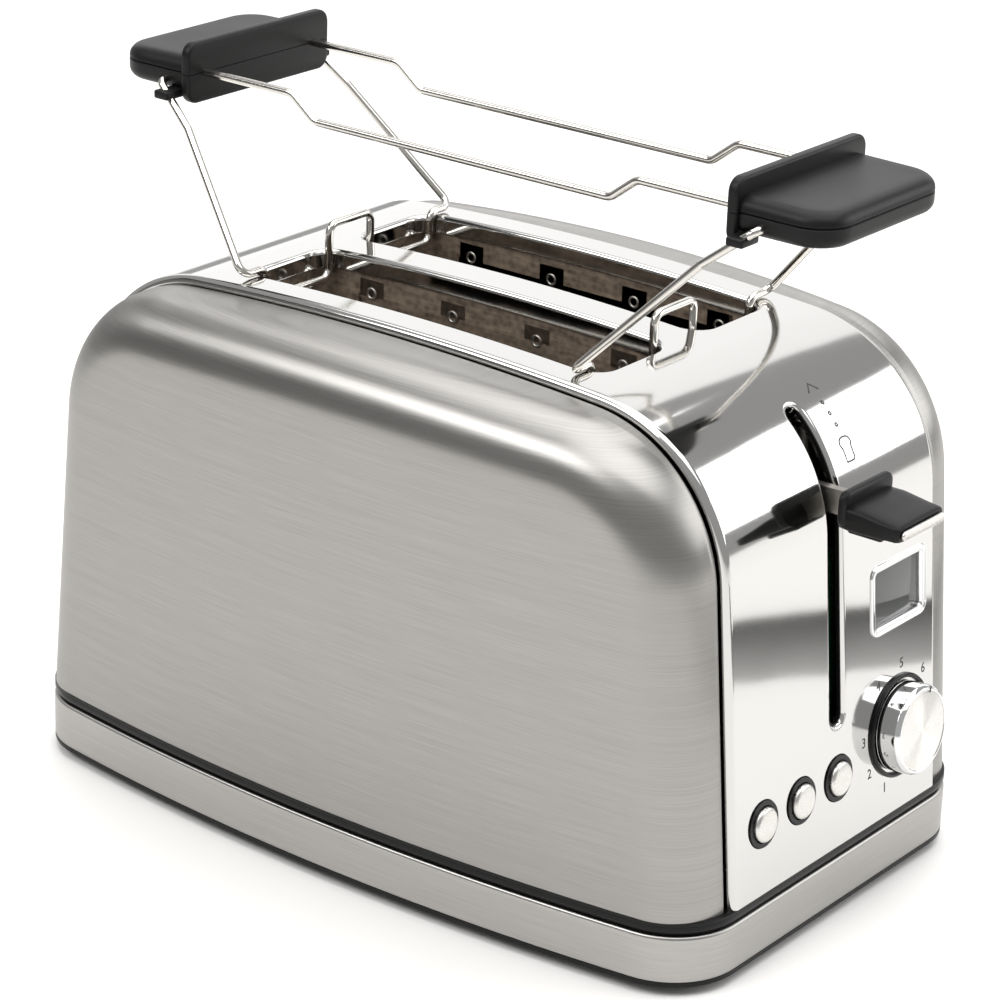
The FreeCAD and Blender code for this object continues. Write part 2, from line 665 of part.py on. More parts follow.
def make_guides():
    """Wire cages that close on the bread: each turns in the chassis plates about its bottom wire."""
    for name, (side, way) in BOARD_FACES.items():
        y = guide_y(side, way)
        reach = PLATE_X + d.plate_wall + 2
        wires = [
            drum("guide_pivot", d.guide_wire, -reach, reach, y=y, z=d.guide_low, axis="X"),
            drum("guide_top", d.guide_wire, -d.guide_half, d.guide_half, y=y, z=d.guide_top, axis="X"),
        ]
        for i in range(7):
            x = d.guide_half * (i / 3 - 1)
            wires.append(drum("guide_bar", d.guide_wire, d.guide_low, d.guide_top, x=x, y=y))
        keep(f"guide_{name}", fused(f"guide_{name}", wires))


# ---------------------------------------------------------------- carriage and lever

BRACKET_X = PLATE_X + d.bracket_off
ROD_X = PLATE_X + d.rod_off_x
CARRIAGE_LOW = d.lift_rest - 4
LEVER_UP = d.lift_rest + d.lever_rise
TAB_TOP = CARRIAGE_LOW + 5 + d.hook_tall


def make_lifters():
    for name, side in (("near", -1), ("far", 1)):
        middle = SLOT_Y * side
        half = d.lifter_wid / 2
        lifter = new_body(f"lifter_{name}")
        add(lifter, "XY", d.lift_rest - d.lifter_wall, d.lift_rest,
            lambda s: rectangle(s, -(PLATE_X + d.plate_wall + 5), BRACKET_X, middle - half, middle + half))
        finger = add(lifter, "XY", d.lift_rest - d.lifter_wall, d.lift_rest + d.finger_rise,
                     lambda s: rectangle(s, -62, d.finger_wid - 62, middle - d.finger_half,
                                         middle + d.finger_half))
        repeat(lifter, finger, "X", 124 - d.finger_wid, 6)
        keep(f"lifter_{name}", lifter)


def make_carriage():
    half, top = d.bracket_wid / 2, CARRIAGE_LOW + d.bracket_tall
    plate = block("bracket_plate", BRACKET_X, BRACKET_X + d.bracket_wall, -half, half, CARRIAGE_LOW, top)
    tab_low = TAB_TOP - d.hook_tall
    tab = block("bracket_tab", BRACKET_X, ROD_X + 6, d.spring_y - 4, d.spring_y + 4, tab_low, TAB_TOP)
    bushes = [drum("bush", d.rod_rad + d.rod_gap + d.bush_wall, CARRIAGE_LOW, top, x=ROD_X, y=d.rod_off_y * s)
              for s in (-1, 1)]
    webs = [block("web", BRACKET_X, ROD_X, d.rod_off_y * s - 1, d.rod_off_y * s + 1, CARRIAGE_LOW, top)
            for s in (-1, 1)]
    bores = [drum("bore", d.rod_rad + d.rod_gap, CARRIAGE_LOW - 1, top + 1, x=ROD_X, y=d.rod_off_y * s)
             for s in (-1, 1)]
    solid = fused("bracket_solid", [plate, tab] + bushes + webs)
    keep("carriage_bracket", cut("carriage_bracket", solid, bores))

    rods = [drum("guide_rod", d.rod_rad, DECK_TOP + d.shelf_wall, RODS_TOP, x=ROD_X, y=d.rod_off_y * s)
            for s in (-1, 1)]
    keep("guide_rods", grouped("guide_rods", rods))

    length = RODS_TOP - TAB_TOP
    outer = drum("spring_outer", d.spring_rad, TAB_TOP, TAB_TOP + length, x=ROD_X, y=d.spring_y)
    inner = drum("spring_inner", d.spring_rad - d.spring_wire, TAB_TOP - 1, RODS_TOP + 1, x=ROD_X, y=d.spring_y)
    keep("return_spring", cut("return_spring", outer, [inner]))


def make_latch():
    """Electromagnet on the shelf, and the plate on the carriage that it holds down."""
    low = DECK_TOP + d.shelf_wall
    x0 = BRACKET_X + d.bracket_wall + 2
    x1, y0 = x0 + d.magnet_deep, d.spring_y + 4
    y1 = y0 + d.magnet_wid
    plate_low = CARRIAGE_LOW - d.armature_wall
    top = plate_low - d.lift_down - d.magnet_gap
    middle_x, middle_y = (x0 + x1) / 2, (y0 + y1) / 2
    base = block("yoke_base", x0, x1, y0, y1, low, low + 1.5)
    walls = [block("yoke_wall", x0, x1, y0, y0 + 1.5, low, top), block("yoke_wall", x0, x1, y1 - 1.5, y1, low, top)]
    core = drum("yoke_core", d.core_rad, low, top, x=middle_x, y=middle_y)
    keep("magnet_yoke", fused("magnet_yoke", [base, core] + walls))
    coil = drum("coil_outer", d.coil_rad, low + 1.6, top - 1.5, x=middle_x, y=middle_y)
    hole = drum("coil_hole", d.core_rad + 0.1, low, top, x=middle_x, y=middle_y)
    keep("magnet_coil", cut("magnet_coil", coil, [hole]))
    keep("armature", block("armature", BRACKET_X, x1, y0 + 2, y1 - 2, plate_low, CARRIAGE_LOW))


def grip_x():
    """Back of the lever's grip: clear of the wrap where the end face reaches out furthest."""
    lowest = LEVER_UP - d.lift_down
    reach = float(END_X) - math.tan(TILT) * float(lowest - DECK_TOP - d.grip_fin)
    return reach + float(d.lever_gap)


def make_lever():
    near, tip = BRACKET_X + d.bracket_wall, grip_x() + 10
    half, mid = d.arm_wall / 2, LEVER_UP
    arm = new_body("lever_arm")
    root = near + 10
    points = [(near, mid - 14), (root - 3, mid - 14), (root, mid - d.arm_tall / 2), (tip, mid - d.arm_tall / 2),
              (tip, mid + d.arm_tall / 2), (near, mid + d.arm_tall / 2)]
    add(arm, "XZ", -half, half, lambda s: polygon(s, points))
    keep("lever_arm", arm)

    back = grip_x()
    front, wide = back + d.grip_deep, d.grip_wid / 2
    low, top = mid - d.grip_thick / 2, mid + d.grip_thick / 2
    grip = new_body("lever_grip")
    slab = add(grip, "XY", low, top, lambda s: polygon(s, [
        (back, -wide), (back + 8, -wide), (front - 4, -wide), (front, -wide + 3),
        (front, wide - 3), (front - 4, wide), (back, wide)]))
    round_edges(grip, slab, 1.6, lambda e: e.BoundBox.ZMin > float(top) - 1e-3 and e.CenterOfMass.x > back + 9)
    add(grip, "YZ", back, back + d.grip_fin_wall,
        lambda s: polygon(s, [(-wide, low), (wide, low), (wide, top + 3), (wide - 3, mid + d.grip_fin),
                              (3 - wide, mid + d.grip_fin), (-wide, top + 3)]))
    claw = d.grip_claw + 2
    add(grip, "YZ", back, back + 13,
        lambda s: rectangle(s, -claw, claw, mid - d.grip_claw, low + 0.5))
    remove(grip, "XZ", -half, half,
           lambda s: rectangle(s, back - 1, tip, mid - d.arm_tall / 2, mid + d.arm_tall / 2))
    keep("lever_grip", grip)
    insert = block("lever_insert", front, front + d.insert_wall, -(d.insert_wid / 2), d.insert_wid / 2,
                   mid - d.insert_tall / 2, mid + d.insert_tall / 2)
    keep("lever_insert", insert)


def make_track_liner():
    """Dark liner behind the lever's track, following the inside of the wrap."""
    skin = float(d.sheet) + 0.1
    half = float(d.liner_wid) / 2
    band = arch(skin, DECK_TOP, -half, half).cut(arch(skin + float(d.liner_wall), DECK_TOP - 5, -half - 1, half + 1))
    reach = float(d.base_len)
    low, top = float(d.track_low) - 6, float(d.track_top) + 3
    window = Part.makeBox(reach, half * 4, top - low, vec(d.slot_len / 2 + 20, -half * 2, low))
    band = band.common(window).cut(lever_track(-0.4, d.slot_len / 2 + 10, END_X + 20))
    keep("track_liner", feature("track_liner", band))


# ---------------------------------------------------------------- control end

def make_display():
    y, up, half_y, half_up = d.window_y, d.window_up, d.window_half_y, d.window_half_up
    edge, wall = d.bezel_edge, d.bezel_wall
    flange = block("bezel_flange", 0, d.bezel_out, y - half_y - edge, y + half_y + edge,
                   up - half_up - edge, up + half_up + edge, FACE)
    neck = block("bezel_neck", -(d.sheet + 0.5), 0.2, y - half_y, y + half_y, up - half_up, up + half_up, FACE)
    hole = block("bezel_hole", -5, 5, y - half_y + wall, y + half_y - wall,
                 up - half_up + wall, up + half_up - wall, FACE)
    keep("display_bezel", cut("display_bezel", fused("bezel_solid", [flange, neck]), [hole]))
    back = -(d.sheet + 0.5)
    keep("display_window", block("display_window", back - d.glass_wall, back, y - half_y, y + half_y,
                                 up - half_up, up + half_up, FACE))
    front = back - d.glass_wall
    keep("timer_display", block("timer_display", -d.board_back, front, y - half_y, y + half_y,
                                up - half_up, up + half_up, FACE))


def make_dial():
    y, up = d.dial_y, d.dial_up
    ring = drum("ring_outer", d.ring_rad, 0, d.ring_out, y=y, z=up, axis="X", frame=FACE)
    hole = drum("ring_hole", d.ring_rad - d.ring_wall, -1, 3, y=y, z=up, axis="X", frame=FACE)
    keep("dial_ring", cut("dial_ring", ring, [hole]))

    knob = doc.addObject("Part::Fillet", "dial_rounded")
    knob.Base = drum("dial_solid", d.dial_rad, 0.5, 0.5 + d.dial_out, y=y, z=up, axis="X", frame=FACE)
    doc.recompute()
    rim = [i for i, edge in enumerate(knob.Base.Shape.Edges, start=1)
           if edge.Closed and (FACE.inverse().multVec(edge.CenterOfMass)).x > 2]
    knob.Edges = [(i, float(d.dial_round), float(d.dial_round)) for i in rim]
    seat = 0.5 + d.dial_out - 3
    socket = drum("dial_socket", d.shaft_rad, 0, seat, y=y, z=up, axis="X", frame=FACE)
    keep("dial_knob", cut("dial_knob", knob, [socket]))
    keep("dial_shaft", drum("dial_shaft", d.shaft_rad, -d.pot_deep, seat, y=y, z=up, axis="X", frame=FACE))

    pot = drum("pot_body", d.pot_rad, -d.board_back, -(d.sheet + 0.3), y=y, z=up, axis="X", frame=FACE)
    bore = drum("pot_bore", d.shaft_rad + d.rod_gap, -(d.pot_deep + 0.5), 1, y=y, z=up, axis="X", frame=FACE)
    keep("dial_pot", cut("dial_pot", pot, [bore]))


def make_buttons():
    rings, switches = [], []
    for i, name in enumerate(BUTTONS):
        y, up = d.button_first + d.button_step * i, d.button_up
        cap = drum("cap", d.button_rad, -2.5, d.button_out - 0.6, y=y, z=up, axis="X", frame=FACE)
        dome = doc.addObject("Part::Cone", "cap_dome")
        bind(dome, "Radius1", d.button_rad)
        bind(dome, "Radius2", d.button_rad - 1.2)
        bind(dome, "Height", 0.6)
        spot = Placement(vec(d.button_out - 0.6, y, up), Rotation(ACROSS, 90))
        dome.Placement = FACE.multiply(spot)
        reach = d.board_back - d.switch_tall - d.button_press - 0.2
        stem = drum("stem", d.stem_rad, -reach, -2.5, y=y, z=up, axis="X", frame=FACE)
        keep(name, fused(name, [cap, dome, stem]))
        outer = drum("rim_outer", d.button_hole - 0.1, -2.0, 0.5, y=y, z=up, axis="X", frame=FACE)
        hole = drum("rim_hole", d.button_rad + d.button_gap, -3, 2, y=y, z=up, axis="X", frame=FACE)
        rings.append(cut("rim", outer, [hole]))
        switches.append(block("switch", -d.board_back, d.switch_tall - d.board_back, y - 3, y + 3,
                              up - 3, up + 3, FACE))
    keep("button_rims", grouped("button_rims", rings))
    keep("button_switches", grouped("button_switches", switches))


def make_circuit():
    board = new_body("control_board")
    back, front = -(d.board_back + d.circuit_wall), -d.board_back
    add(board, "YZ", back, front, lambda s: polygon(s, [
        (-52, 7), (53, 7), (53, 92), (13, 92), (13, 36), (-52, 36)]))

    def holes(sketch):
        for y, z in ((-48, 32), (-48, 11), (49, 11), (49, 88), (17, 88)):
            circle(sketch, y, z, 1.6)

    remove(board, "YZ", back, front, holes)
    board.Placement = FACE
    keep("control_board", board)


# ---------------------------------------------------------------- warming rack

def crown_height(x):
    return float(d.crown_top - d.crown_arc) + math.sqrt(float(d.crown_arc) ** 2 - float(x) ** 2)


def make_rack_wires():
    reach = float(d.rack_half + d.grip_fin_out) + 12
    top, dip = float(d.rack_up), float(d.rack_up - d.rack_dip)
    for name, side in (("near", -1), ("far", 1)):
        y = float(d.rack_wire_y) * side
        half = [(reach, top), (float(d.dip_from), top), (float(d.dip_to), dip)]
        path = [Vector(-x, y, z) for x, z in half] + [Vector(x, y, z) for x, z in reversed(half)]
        keep(f"rack_wire_{name}", feature(f"rack_wire_{name}", bent_wire(path, d.wire_bend, d.rack_wire)))


def leg_points():
    """From inside the handle, out of its side, down to the wrap, over the slot's edge, and across both slots."""
    foot_x, rest = float(d.leg_foot_x), crown_height(d.leg_foot_x) + float(d.rack_wire + d.wire_gap)
    slot_edge = float(d.bridge_wid / 2 + d.slot_wid)
    drop_y = slot_edge - float(d.rack_wire) - 1.6
    over_y = float(d.bridge_wid / 2 + d.rack_wire) + 1.4
    half = [
        (d.leg_top_x, 9, d.leg_top_up), (d.leg_top_x, d.slab_half + 3, d.leg_top_up),
        (d.leg_bend_x, d.leg_bend_y, d.leg_bend_up), (foot_x, d.leg_foot_y, rest),
        (foot_x, drop_y, rest), (foot_x, drop_y, d.leg_drop),
        (foot_x, over_y, d.leg_drop), (foot_x, over_y, d.bridge_over),
    ]
    far = [vec(*point) for point in half]
    return far + [Vector(p.x, -p.y, p.z) for p in reversed(far)]


def make_rack_legs():
    legs = bent_wire(leg_points(), 2.4, d.rack_wire)
    keep("rack_legs_front", feature("rack_legs_front", legs))
    keep("rack_legs_back", feature("rack_legs_back", mirrored(legs, OUT)))


def make_rack_handles():
    """Each handle is two shells that close on the wires at the parting plane."""
    fin_in, fin_out = d.rack_half, d.rack_half + d.grip_fin_out
    end = fin_out + d.slab_reach
    for name, low, high, fin_low, fin_high, rim in (
            ("upper", d.rack_up, d.slab_top, d.rack_up, d.grip_fin_top, d.slab_top),
            ("lower", d.slab_low, d.rack_up, d.grip_fin_low, d.rack_up, d.slab_low)):
        shell = new_body(f"rack_handle_front_{name}")
        slab = add(shell, "XY", low, high, lambda s: rectangle(s, fin_out, end, -d.slab_half, d.slab_half))
        corner = round_edges(shell, slab, d.slab_corner,
                             lambda e: is_upright(e) and e.CenterOfMass.x > float(end) - 1)
        round_edges(shell, corner, d.slab_round,
                    lambda e: abs(e.CenterOfMass.z - float(rim)) < 1e-3 and e.CenterOfMass.x > float(fin_out) + 1)
        add(shell, "YZ", fin_in, fin_out, lambda s: rectangle(s, -d.grip_fin_half, d.grip_fin_half, fin_low, fin_high))

        def wire_holes(sketch):
            for side in (-1, 1):
                circle(sketch, d.rack_wire_y * side, d.rack_up, d.rack_wire + 0.05)

        remove(shell, "YZ", fin_in, fin_out + 12, wire_holes)
        if name == "lower":
            remove(shell, "XZ", -(d.slab_half + 1), d.slab_half + 1,
                   lambda s: circle(s, d.leg_top_x, d.leg_top_up, d.rack_wire + 0.05))
        keep(f"rack_handle_front_{name}", shell)
        back = doc.addObject("Part::Mirroring", f"rack_handle_back_{name}")
        back.Source = shell
        back.Normal = OUT
        keep(f"rack_handle_back_{name}", back)


# ---------------------------------------------------------------- build and write

def check_document():
    for obj in doc.Objects:
        if {"Invalid", "Error"} & set(obj.State):
            raise ValueError(f"{obj.Name} failed: {obj.State}")
    for name, obj in NODES.items():
        if obj.Shape.isNull() or not obj.Shape.isValid() or not obj.Shape.Solids:
            raise ValueError(f"{name} has no valid solid")


for make in (make_feet, make_base, make_crumb_tray, make_cord_entry, make_base_screws, make_wrap,
             make_side_panels, make_chassis, make_heaters, make_reflectors, make_guides, make_lifters,
             make_carriage, make_latch, make_lever, make_track_liner, make_display, make_dial,
             make_buttons, make_circuit, make_rack_wires, make_rack_legs, make_rack_handles):
    make()
doc.recompute()
check_document()
os.makedirs("parts", exist_ok=True)
for name, obj in NODES.items():
    obj.Shape.exportStep(f"parts/{name}.step")
print(len(NODES), "nodes")
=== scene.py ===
import math

import bmesh
import bpy
import numpy as np
from mathutils import Matrix, Vector
from mathutils.geometry import delaunay_2d_cdt


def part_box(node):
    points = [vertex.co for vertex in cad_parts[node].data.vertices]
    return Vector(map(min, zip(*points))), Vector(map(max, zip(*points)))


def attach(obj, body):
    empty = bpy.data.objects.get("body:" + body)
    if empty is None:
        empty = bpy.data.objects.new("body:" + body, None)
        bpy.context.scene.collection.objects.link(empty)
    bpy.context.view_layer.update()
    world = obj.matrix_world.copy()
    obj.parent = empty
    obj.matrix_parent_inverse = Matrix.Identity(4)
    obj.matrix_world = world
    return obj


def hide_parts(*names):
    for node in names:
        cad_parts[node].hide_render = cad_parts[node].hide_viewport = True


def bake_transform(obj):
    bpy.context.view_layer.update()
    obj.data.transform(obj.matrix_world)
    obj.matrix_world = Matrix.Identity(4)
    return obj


# A two-slot pop-up toaster with a polished wrap, domed brushed side panels and a warming rack.
# Lengths here are millimetres; "publish" turns them into metres.  +X points to the end with the lever,
# +Y across the slots, +Z up, and the table is at Z 0.

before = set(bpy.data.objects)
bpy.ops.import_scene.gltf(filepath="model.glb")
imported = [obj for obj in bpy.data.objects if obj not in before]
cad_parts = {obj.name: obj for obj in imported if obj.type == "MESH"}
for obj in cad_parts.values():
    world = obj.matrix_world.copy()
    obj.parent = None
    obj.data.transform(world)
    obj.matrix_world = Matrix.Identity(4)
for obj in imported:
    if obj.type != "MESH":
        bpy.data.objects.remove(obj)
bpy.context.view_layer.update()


def span(node):
    """Lowest and highest corner of a CAD node, in millimetres."""
    low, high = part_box(node)
    return low * 1000, high * 1000


# ---------------------------------------------------------------- sizes

_, WRAP_HIGH = span("wrap_shell")
SKIRT_LOW, SKIRT_HIGH = span("base_skirt")
DECK_LOW, DECK_HIGH = span("base_deck")
END_X, HALF_WRAP, CROWN_TOP, DECK_TOP = WRAP_HIGH.x, WRAP_HIGH.y, WRAP_HIGH.z, DECK_HIGH.z
TAPER = math.radians(5.2)       # how far each end face leans inward
END_ARC, CROWN_ARC = 52.7, 1155.0
WRAP_ROLL, SHEET = 2.5, 1.0
PLAN_CORNER, PLAN_BOW = 24.4, 837.0
PANEL_INSET, PANEL_GAP, PANEL_ROUND, PANEL_WALL = 2.5, 1.2, 20.0, 0.9
SLOT_LENGTH, SLOT_WIDTH, BRIDGE, SLOT_CORNER = 140.0, 37.0, 15.4, 8.0
SLOT_Y = (BRIDGE + SLOT_WIDTH) / 2
TRACK_HALF, TRACK_LOW, TRACK_TOP = 3.45, 65.2, 164.5
WINDOW_Y, WINDOW_UP, WINDOW_HALF_Y, WINDOW_HALF_UP = 35.5, 74.3, 14.6, 10.4
DIAL_Y, DIAL_UP = 35.5, 28.6
BUTTONS = {"button_left": -41.6, "button_middle": -20.8, "button_right": 0.0}
BUTTON_UP, BUTTON_HOLE = 23.1, 7.6
WIRE = 1.35
TRAY_HALF, TRAY_LOW, TRAY_TOP = 46.8, 6.2, 15.8
RAIL_Y, RAIL_DIP, RAIL_BEND = 26.6, 7.4, 5.0
LEG_X, LEG_DROP, LEG_RISE, LEG_BEND = 65.5, 168.0, 186.0, 3.4
SHELL_SPLIT, SHELL_HALF, SHELL_CORNER = 232.9, 33.0, 12.0
FLANGE_HALF, FLANGE_WALL, FLANGE_CORNER = 34.6, 3.6, 4.5
THROAT_GAP, EYELET_Z, EYELET_STEP = 1.4, 165.0, 34.0
SPRING_TURNS, SPRING_COIL, SPRING_WIRE = 13, 3.2, 0.4


# ---------------------------------------------------------------- small tools

def arc_points(centre, radius, start, end, steps):
    """Points on a flat arc, both ends included, angles in degrees."""
    angles = [math.radians(start + (end - start) * i / steps) for i in range(steps + 1)]
    return [(centre[0] + radius * math.cos(a), centre[1] + radius * math.sin(a)) for a in angles]


def soften(points, radius, steps=4):
    """An open flat outline with its inner corners rounded."""
    made = [points[0]]
    for before, here, after in zip(points, points[1:], points[2:]):
        here_v, a, b = Vector(here), Vector(before) - Vector(here), Vector(after) - Vector(here)
        reach = min(radius, a.length * 0.45, b.length * 0.45)
        first, last = here_v + a.normalized() * reach, here_v + b.normalized() * reach
        for i in range(steps + 1):
            t = i / steps
            made.append(tuple(first * (1 - t) ** 2 + here_v * 2 * t * (1 - t) + last * t ** 2))
    return made + [points[-1]]


def rounded_rectangle(half_u, half_v, radius, steps=8, centre=(0, 0)):
    """Closed outline, anticlockwise, with the outward direction at each point."""
    made = []
    for quarter, (su, sv) in enumerate(((1, 1), (-1, 1), (-1, -1), (1, -1))):
        middle = (centre[0] + su * (half_u - radius), centre[1] + sv * (half_v - radius))
        for i in range(steps + 1):
            a = math.radians(90 * quarter + 90 * i / steps)
            made.append((middle[0] + radius * math.cos(a), middle[1] + radius * math.sin(a),
                         math.cos(a), math.sin(a)))
    return made


def even(outline, step):
    """Adds points on the long straight runs of an outline made by rounded_rectangle."""
    made = []
    for here, after in zip(outline, outline[1:] + outline[:1]):
        length = math.hypot(after[0] - here[0], after[1] - here[1])
        count = max(1, round(length / step))
        for i in range(count):
            t = i / count
            direction = Vector((here[2] * (1 - t) + after[2] * t,
                                here[3] * (1 - t) + after[3] * t)).normalized()
            made.append((here[0] + (after[0] - here[0]) * t, here[1] + (after[1] - here[1]) * t,
                         *direction))
    return made


class Skin:
    """Points, faces and, where they are known, the surface's own normals.  Points that meet are one."""

    def __init__(self):
        self.points, self.normals, self.faces, self.places = [], [], [], {}

    def add(self, point, normal=None):
        key = tuple(round(c, 3) for c in point)
        if key not in self.places:
            self.places[key] = len(self.points)
            self.points.append(Vector(point))
            self.normals.append(normal)
        return self.places[key]

    def face(self, *corners):
        corners = [c for i, c in enumerate(corners) if c != corners[i - 1]]
        if len(corners) > 2 and len(set(corners)) == len(corners):
            self.faces.append(tuple(corners))

    def between(self, row, after, closed=False):
        """Quads between two rows of points."""
        count = len(row)
        for i in range(count if closed else count - 1):
            j = (i + 1) % count
            self.face(row[i], row[j], after[j], after[i])

    def row(self, points):
        return [self.add(point) for point in points]

    def thicken(self, wall):
        """A second surface, a wall's depth behind the first, and the rims between them."""
        normals = self.normals if all(self.normals) else self.own_normals()
        count, front = len(self.points), list(self.faces)
        for i in range(count):
            self.points.append(self.points[i] - normals[i] * wall)
            self.normals.append(None if self.normals[i] is None else -self.normals[i])
        self.faces += [tuple(i + count for i in reversed(face)) for face in front]
        used = {}
        for face in front:
            for a, b in zip(face, face[1:] + face[:1]):
                used[(a, b)] = True
        for a, b in used:
            if (b, a) not in used:
                self.faces.append((b, a, a + count, b + count))

    def agree(self):
        """Turns each face whose corners run against the surface's own normals."""
        for i, face in enumerate(self.faces):
            spots = [self.points[corner] for corner in face]
            normal = (spots[1] - spots[0]).cross(spots[-1] - spots[0])
            if normal.dot(sum((self.normals[corner] for corner in face), Vector())) < 0:
                self.faces[i] = tuple(reversed(face))

    def own_normals(self):
        made = [Vector() for _ in self.points]
        for face in self.faces:
            spots = [self.points[i] for i in face]
            normal = (spots[1] - spots[0]).cross(spots[-1] - spots[0])
            for i in face:
                made[i] += normal
        return [n.normalized() for n in made]


def publish(name, skin, material, body="root", nodes=(), sharp=35.0, outward=False):
    """Makes a piece of a skin, gives it its material and hangs it on its body."""
    mesh = bpy.data.meshes.new(name)
    mesh.from_pydata([tuple(p * 0.001) for p in skin.points], [], skin.faces)
    if outward:
        shape = bmesh.new()
        shape.from_mesh(mesh)
        bmesh.ops.recalc_face_normals(shape, faces=shape.faces)
        shape.to_mesh(mesh)
        shape.free()
    mesh.shade_smooth()
    if all(n is not None for n in skin.normals):
        mesh.normals_split_custom_set_from_vertices([tuple(n) for n in skin.normals])
    else:
        mesh.set_sharp_from_angle(angle=math.radians(sharp))
    return hang(bpy.data.objects.new(name, mesh), material, body, nodes)


def hang(obj, material, body="root", nodes=()):
    """Links a finished object, paints it, hangs it on its body and hides the CAD nodes it stands for."""
    if obj.name not in bpy.context.scene.collection.all_objects:
        bpy.context.scene.collection.objects.link(obj)
    if material:
        obj.data.materials.clear()
        obj.data.materials.append(material)
    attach(obj, body)
    if nodes:
        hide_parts(*nodes)
    return obj


def spin(profile, place, steps=64, skin=None):
    """Surface of revolution about the place's own Z, from (radius, height) points; radius 0 is a
    pole."""
    skin = skin or Skin()
    rows = []
    for radius, height in profile:
        if radius < 1e-6:
            rows.append([skin.add(place @ Vector((0, 0, height)))] * steps)
            continue
        turns = [2 * math.pi * i / steps for i in range(steps)]
        rows.append(skin.row(place @ Vector((radius * math.cos(a), radius * math.sin(a), height))
                             for a in turns))
    for row, after in zip(rows, rows[1:]):
        skin.between(row, after, closed=True)
    return skin


def plate(outline, thick, edge, place, skin=None, steps=3):
    """Flat plate with rounded edges: the outline in the place's XY, its thickness along its Z."""
    skin = skin or Skin()
    rings = [(edge * (1 - math.sin(a)), edge * (1 - math.cos(a)))
             for a in [math.pi / 2 * i / steps for i in range(steps + 1)]]
    levels = rings + [(inset, thick - height) for inset, height in reversed(rings)]
    rows = []
    for inset, height in levels:
        rows.append(skin.row(place @ Vector((u - nu * inset, v - nv * inset, height))
                             for u, v, nu, nv in outline))
    for row, after in zip(rows, rows[1:]):
        skin.between(row, after, closed=True)
    skin.face(*reversed(rows[0]))
    skin.face(*rows[-1])
    return skin


def loft(sections, skin=None):
    """Closed solid through rings of points, flat at both ends."""
    skin = skin or Skin()
    rows = [skin.row(section) for section in sections]
    for row, after in zip(rows, rows[1:]):
        skin.between(row, after, closed=True)
    skin.face(*reversed(rows[0]))
    skin.face(*rows[-1])
    return skin


def box_skin(low, high, edge, skin=None):
    """Block with rounded edges between two corners."""
    middle = Vector(((low[0] + high[0]) / 2, (low[1] + high[1]) / 2, low[2]))
    outline = rounded_rectangle((high[0] - low[0]) / 2, (high[1] - low[1]) / 2, edge, 3)
    return plate(outline, high[2] - low[2], edge, Matrix.Translation(middle), skin)


def end_face(up=0.0, y=0.0, out=0.0):
    """Place on the sloping control end: its Z points outward, its Y up the face and its X along +Y."""
    outward = Vector((math.cos(TAPER), 0, math.sin(TAPER)))
    upward = Vector((-math.sin(TAPER), 0, math.cos(TAPER)))
    spot = Vector((END_X, y, DECK_TOP)) + upward * up + outward * out
    return Matrix.Translation(spot) @ Matrix((Vector((0, 1, 0)), upward, outward)).transposed().to_4x4()


def facing(spot, outward, across):
    """Place at a spot whose Z points outward and whose X runs across."""
    z = Vector(outward).normalized()
    x = Vector(across).normalized()
    return Matrix.Translation(spot) @ Matrix((x, z.cross(x), z)).transposed().to_4x4()


# ---------------------------------------------------------------- the arch and the plan

class Arch:
    """Upright outline of the wrap, followed by its length from the foot of the control end."""

    def __init__(self):
        out, up = Vector((math.cos(TAPER), math.sin(TAPER))), Vector((-math.sin(TAPER), math.cos(TAPER)))
        self.foot, self.up, self.crown = Vector((END_X, DECK_TOP)), up, Vector((0, CROWN_TOP - CROWN_ARC))
        away = self.foot - out * END_ARC - self.crown
        reach = CROWN_ARC - END_ARC
        rise = -away.dot(up) + math.sqrt(away.dot(up) ** 2 - away.length_squared + reach ** 2)
        self.end = self.crown + away + up * rise
        to_end = self.end - self.crown
        self.half_angle = math.atan2(to_end.x, to_end.y)
        self.straight = rise
        self.shoulder = rise + END_ARC * (math.pi / 2 - self.half_angle - TAPER)
        self.half = self.shoulder + CROWN_ARC * self.half_angle

    def at(self, length):
        """The point and the outward direction there, each as (x, z)."""
        if length > self.half:
            spot, normal = self.at(2 * self.half - length)
            return Vector((-spot.x, spot.y)), Vector((-normal.x, normal.y))
        if length < self.straight:
            return self.foot + self.up * length, Vector((math.cos(TAPER), math.sin(TAPER)))
        if length < self.shoulder:
            angle = TAPER + (length - self.straight) / END_ARC
            normal = Vector((math.cos(angle), math.sin(angle)))
            return self.end + normal * END_ARC, normal
        angle = (self.half - length) / CROWN_ARC
        normal = Vector((math.sin(angle), math.cos(angle)))
        return self.crown + normal * CROWN_ARC, normal

    def at_height(self, z):
        """Length from the foot to a height on the control end."""
        turn = self.end.y + END_ARC * math.sin(TAPER)
        if z < turn:
            return (z - DECK_TOP) / math.cos(TAPER)
        return self.straight + END_ARC * (math.asin((z - self.end.y) / END_ARC) - TAPER)

    def stations(self, inset=0.0, ends=24, shoulders=26, crown=60):
        """Lengths that follow the whole arch, starting level with the deck however far in it is."""
        low = inset * math.tan(TAPER)
        front = [low + (self.straight - low) * i / ends for i in range(ends)]
        front += [self.straight + (self.shoulder - self.straight) * i / shoulders for i in range(shoulders)]
        front += [self.shoulder + (self.half - self.shoulder) * 2 * i / crown for i in range(crown // 2)]
        return front + [self.half] + [2 * self.half - s for s in reversed(front)]


arch = Arch()


def on_wrap(length, y, inset=0.0):
    """Point on the wrap, or a depth inside it, and the outward normal there."""
    spot, normal = arch.at(length)
    spot = spot - normal * inset
    return Vector((spot.x, y, spot.y)), Vector((normal.x, 0, normal.y))


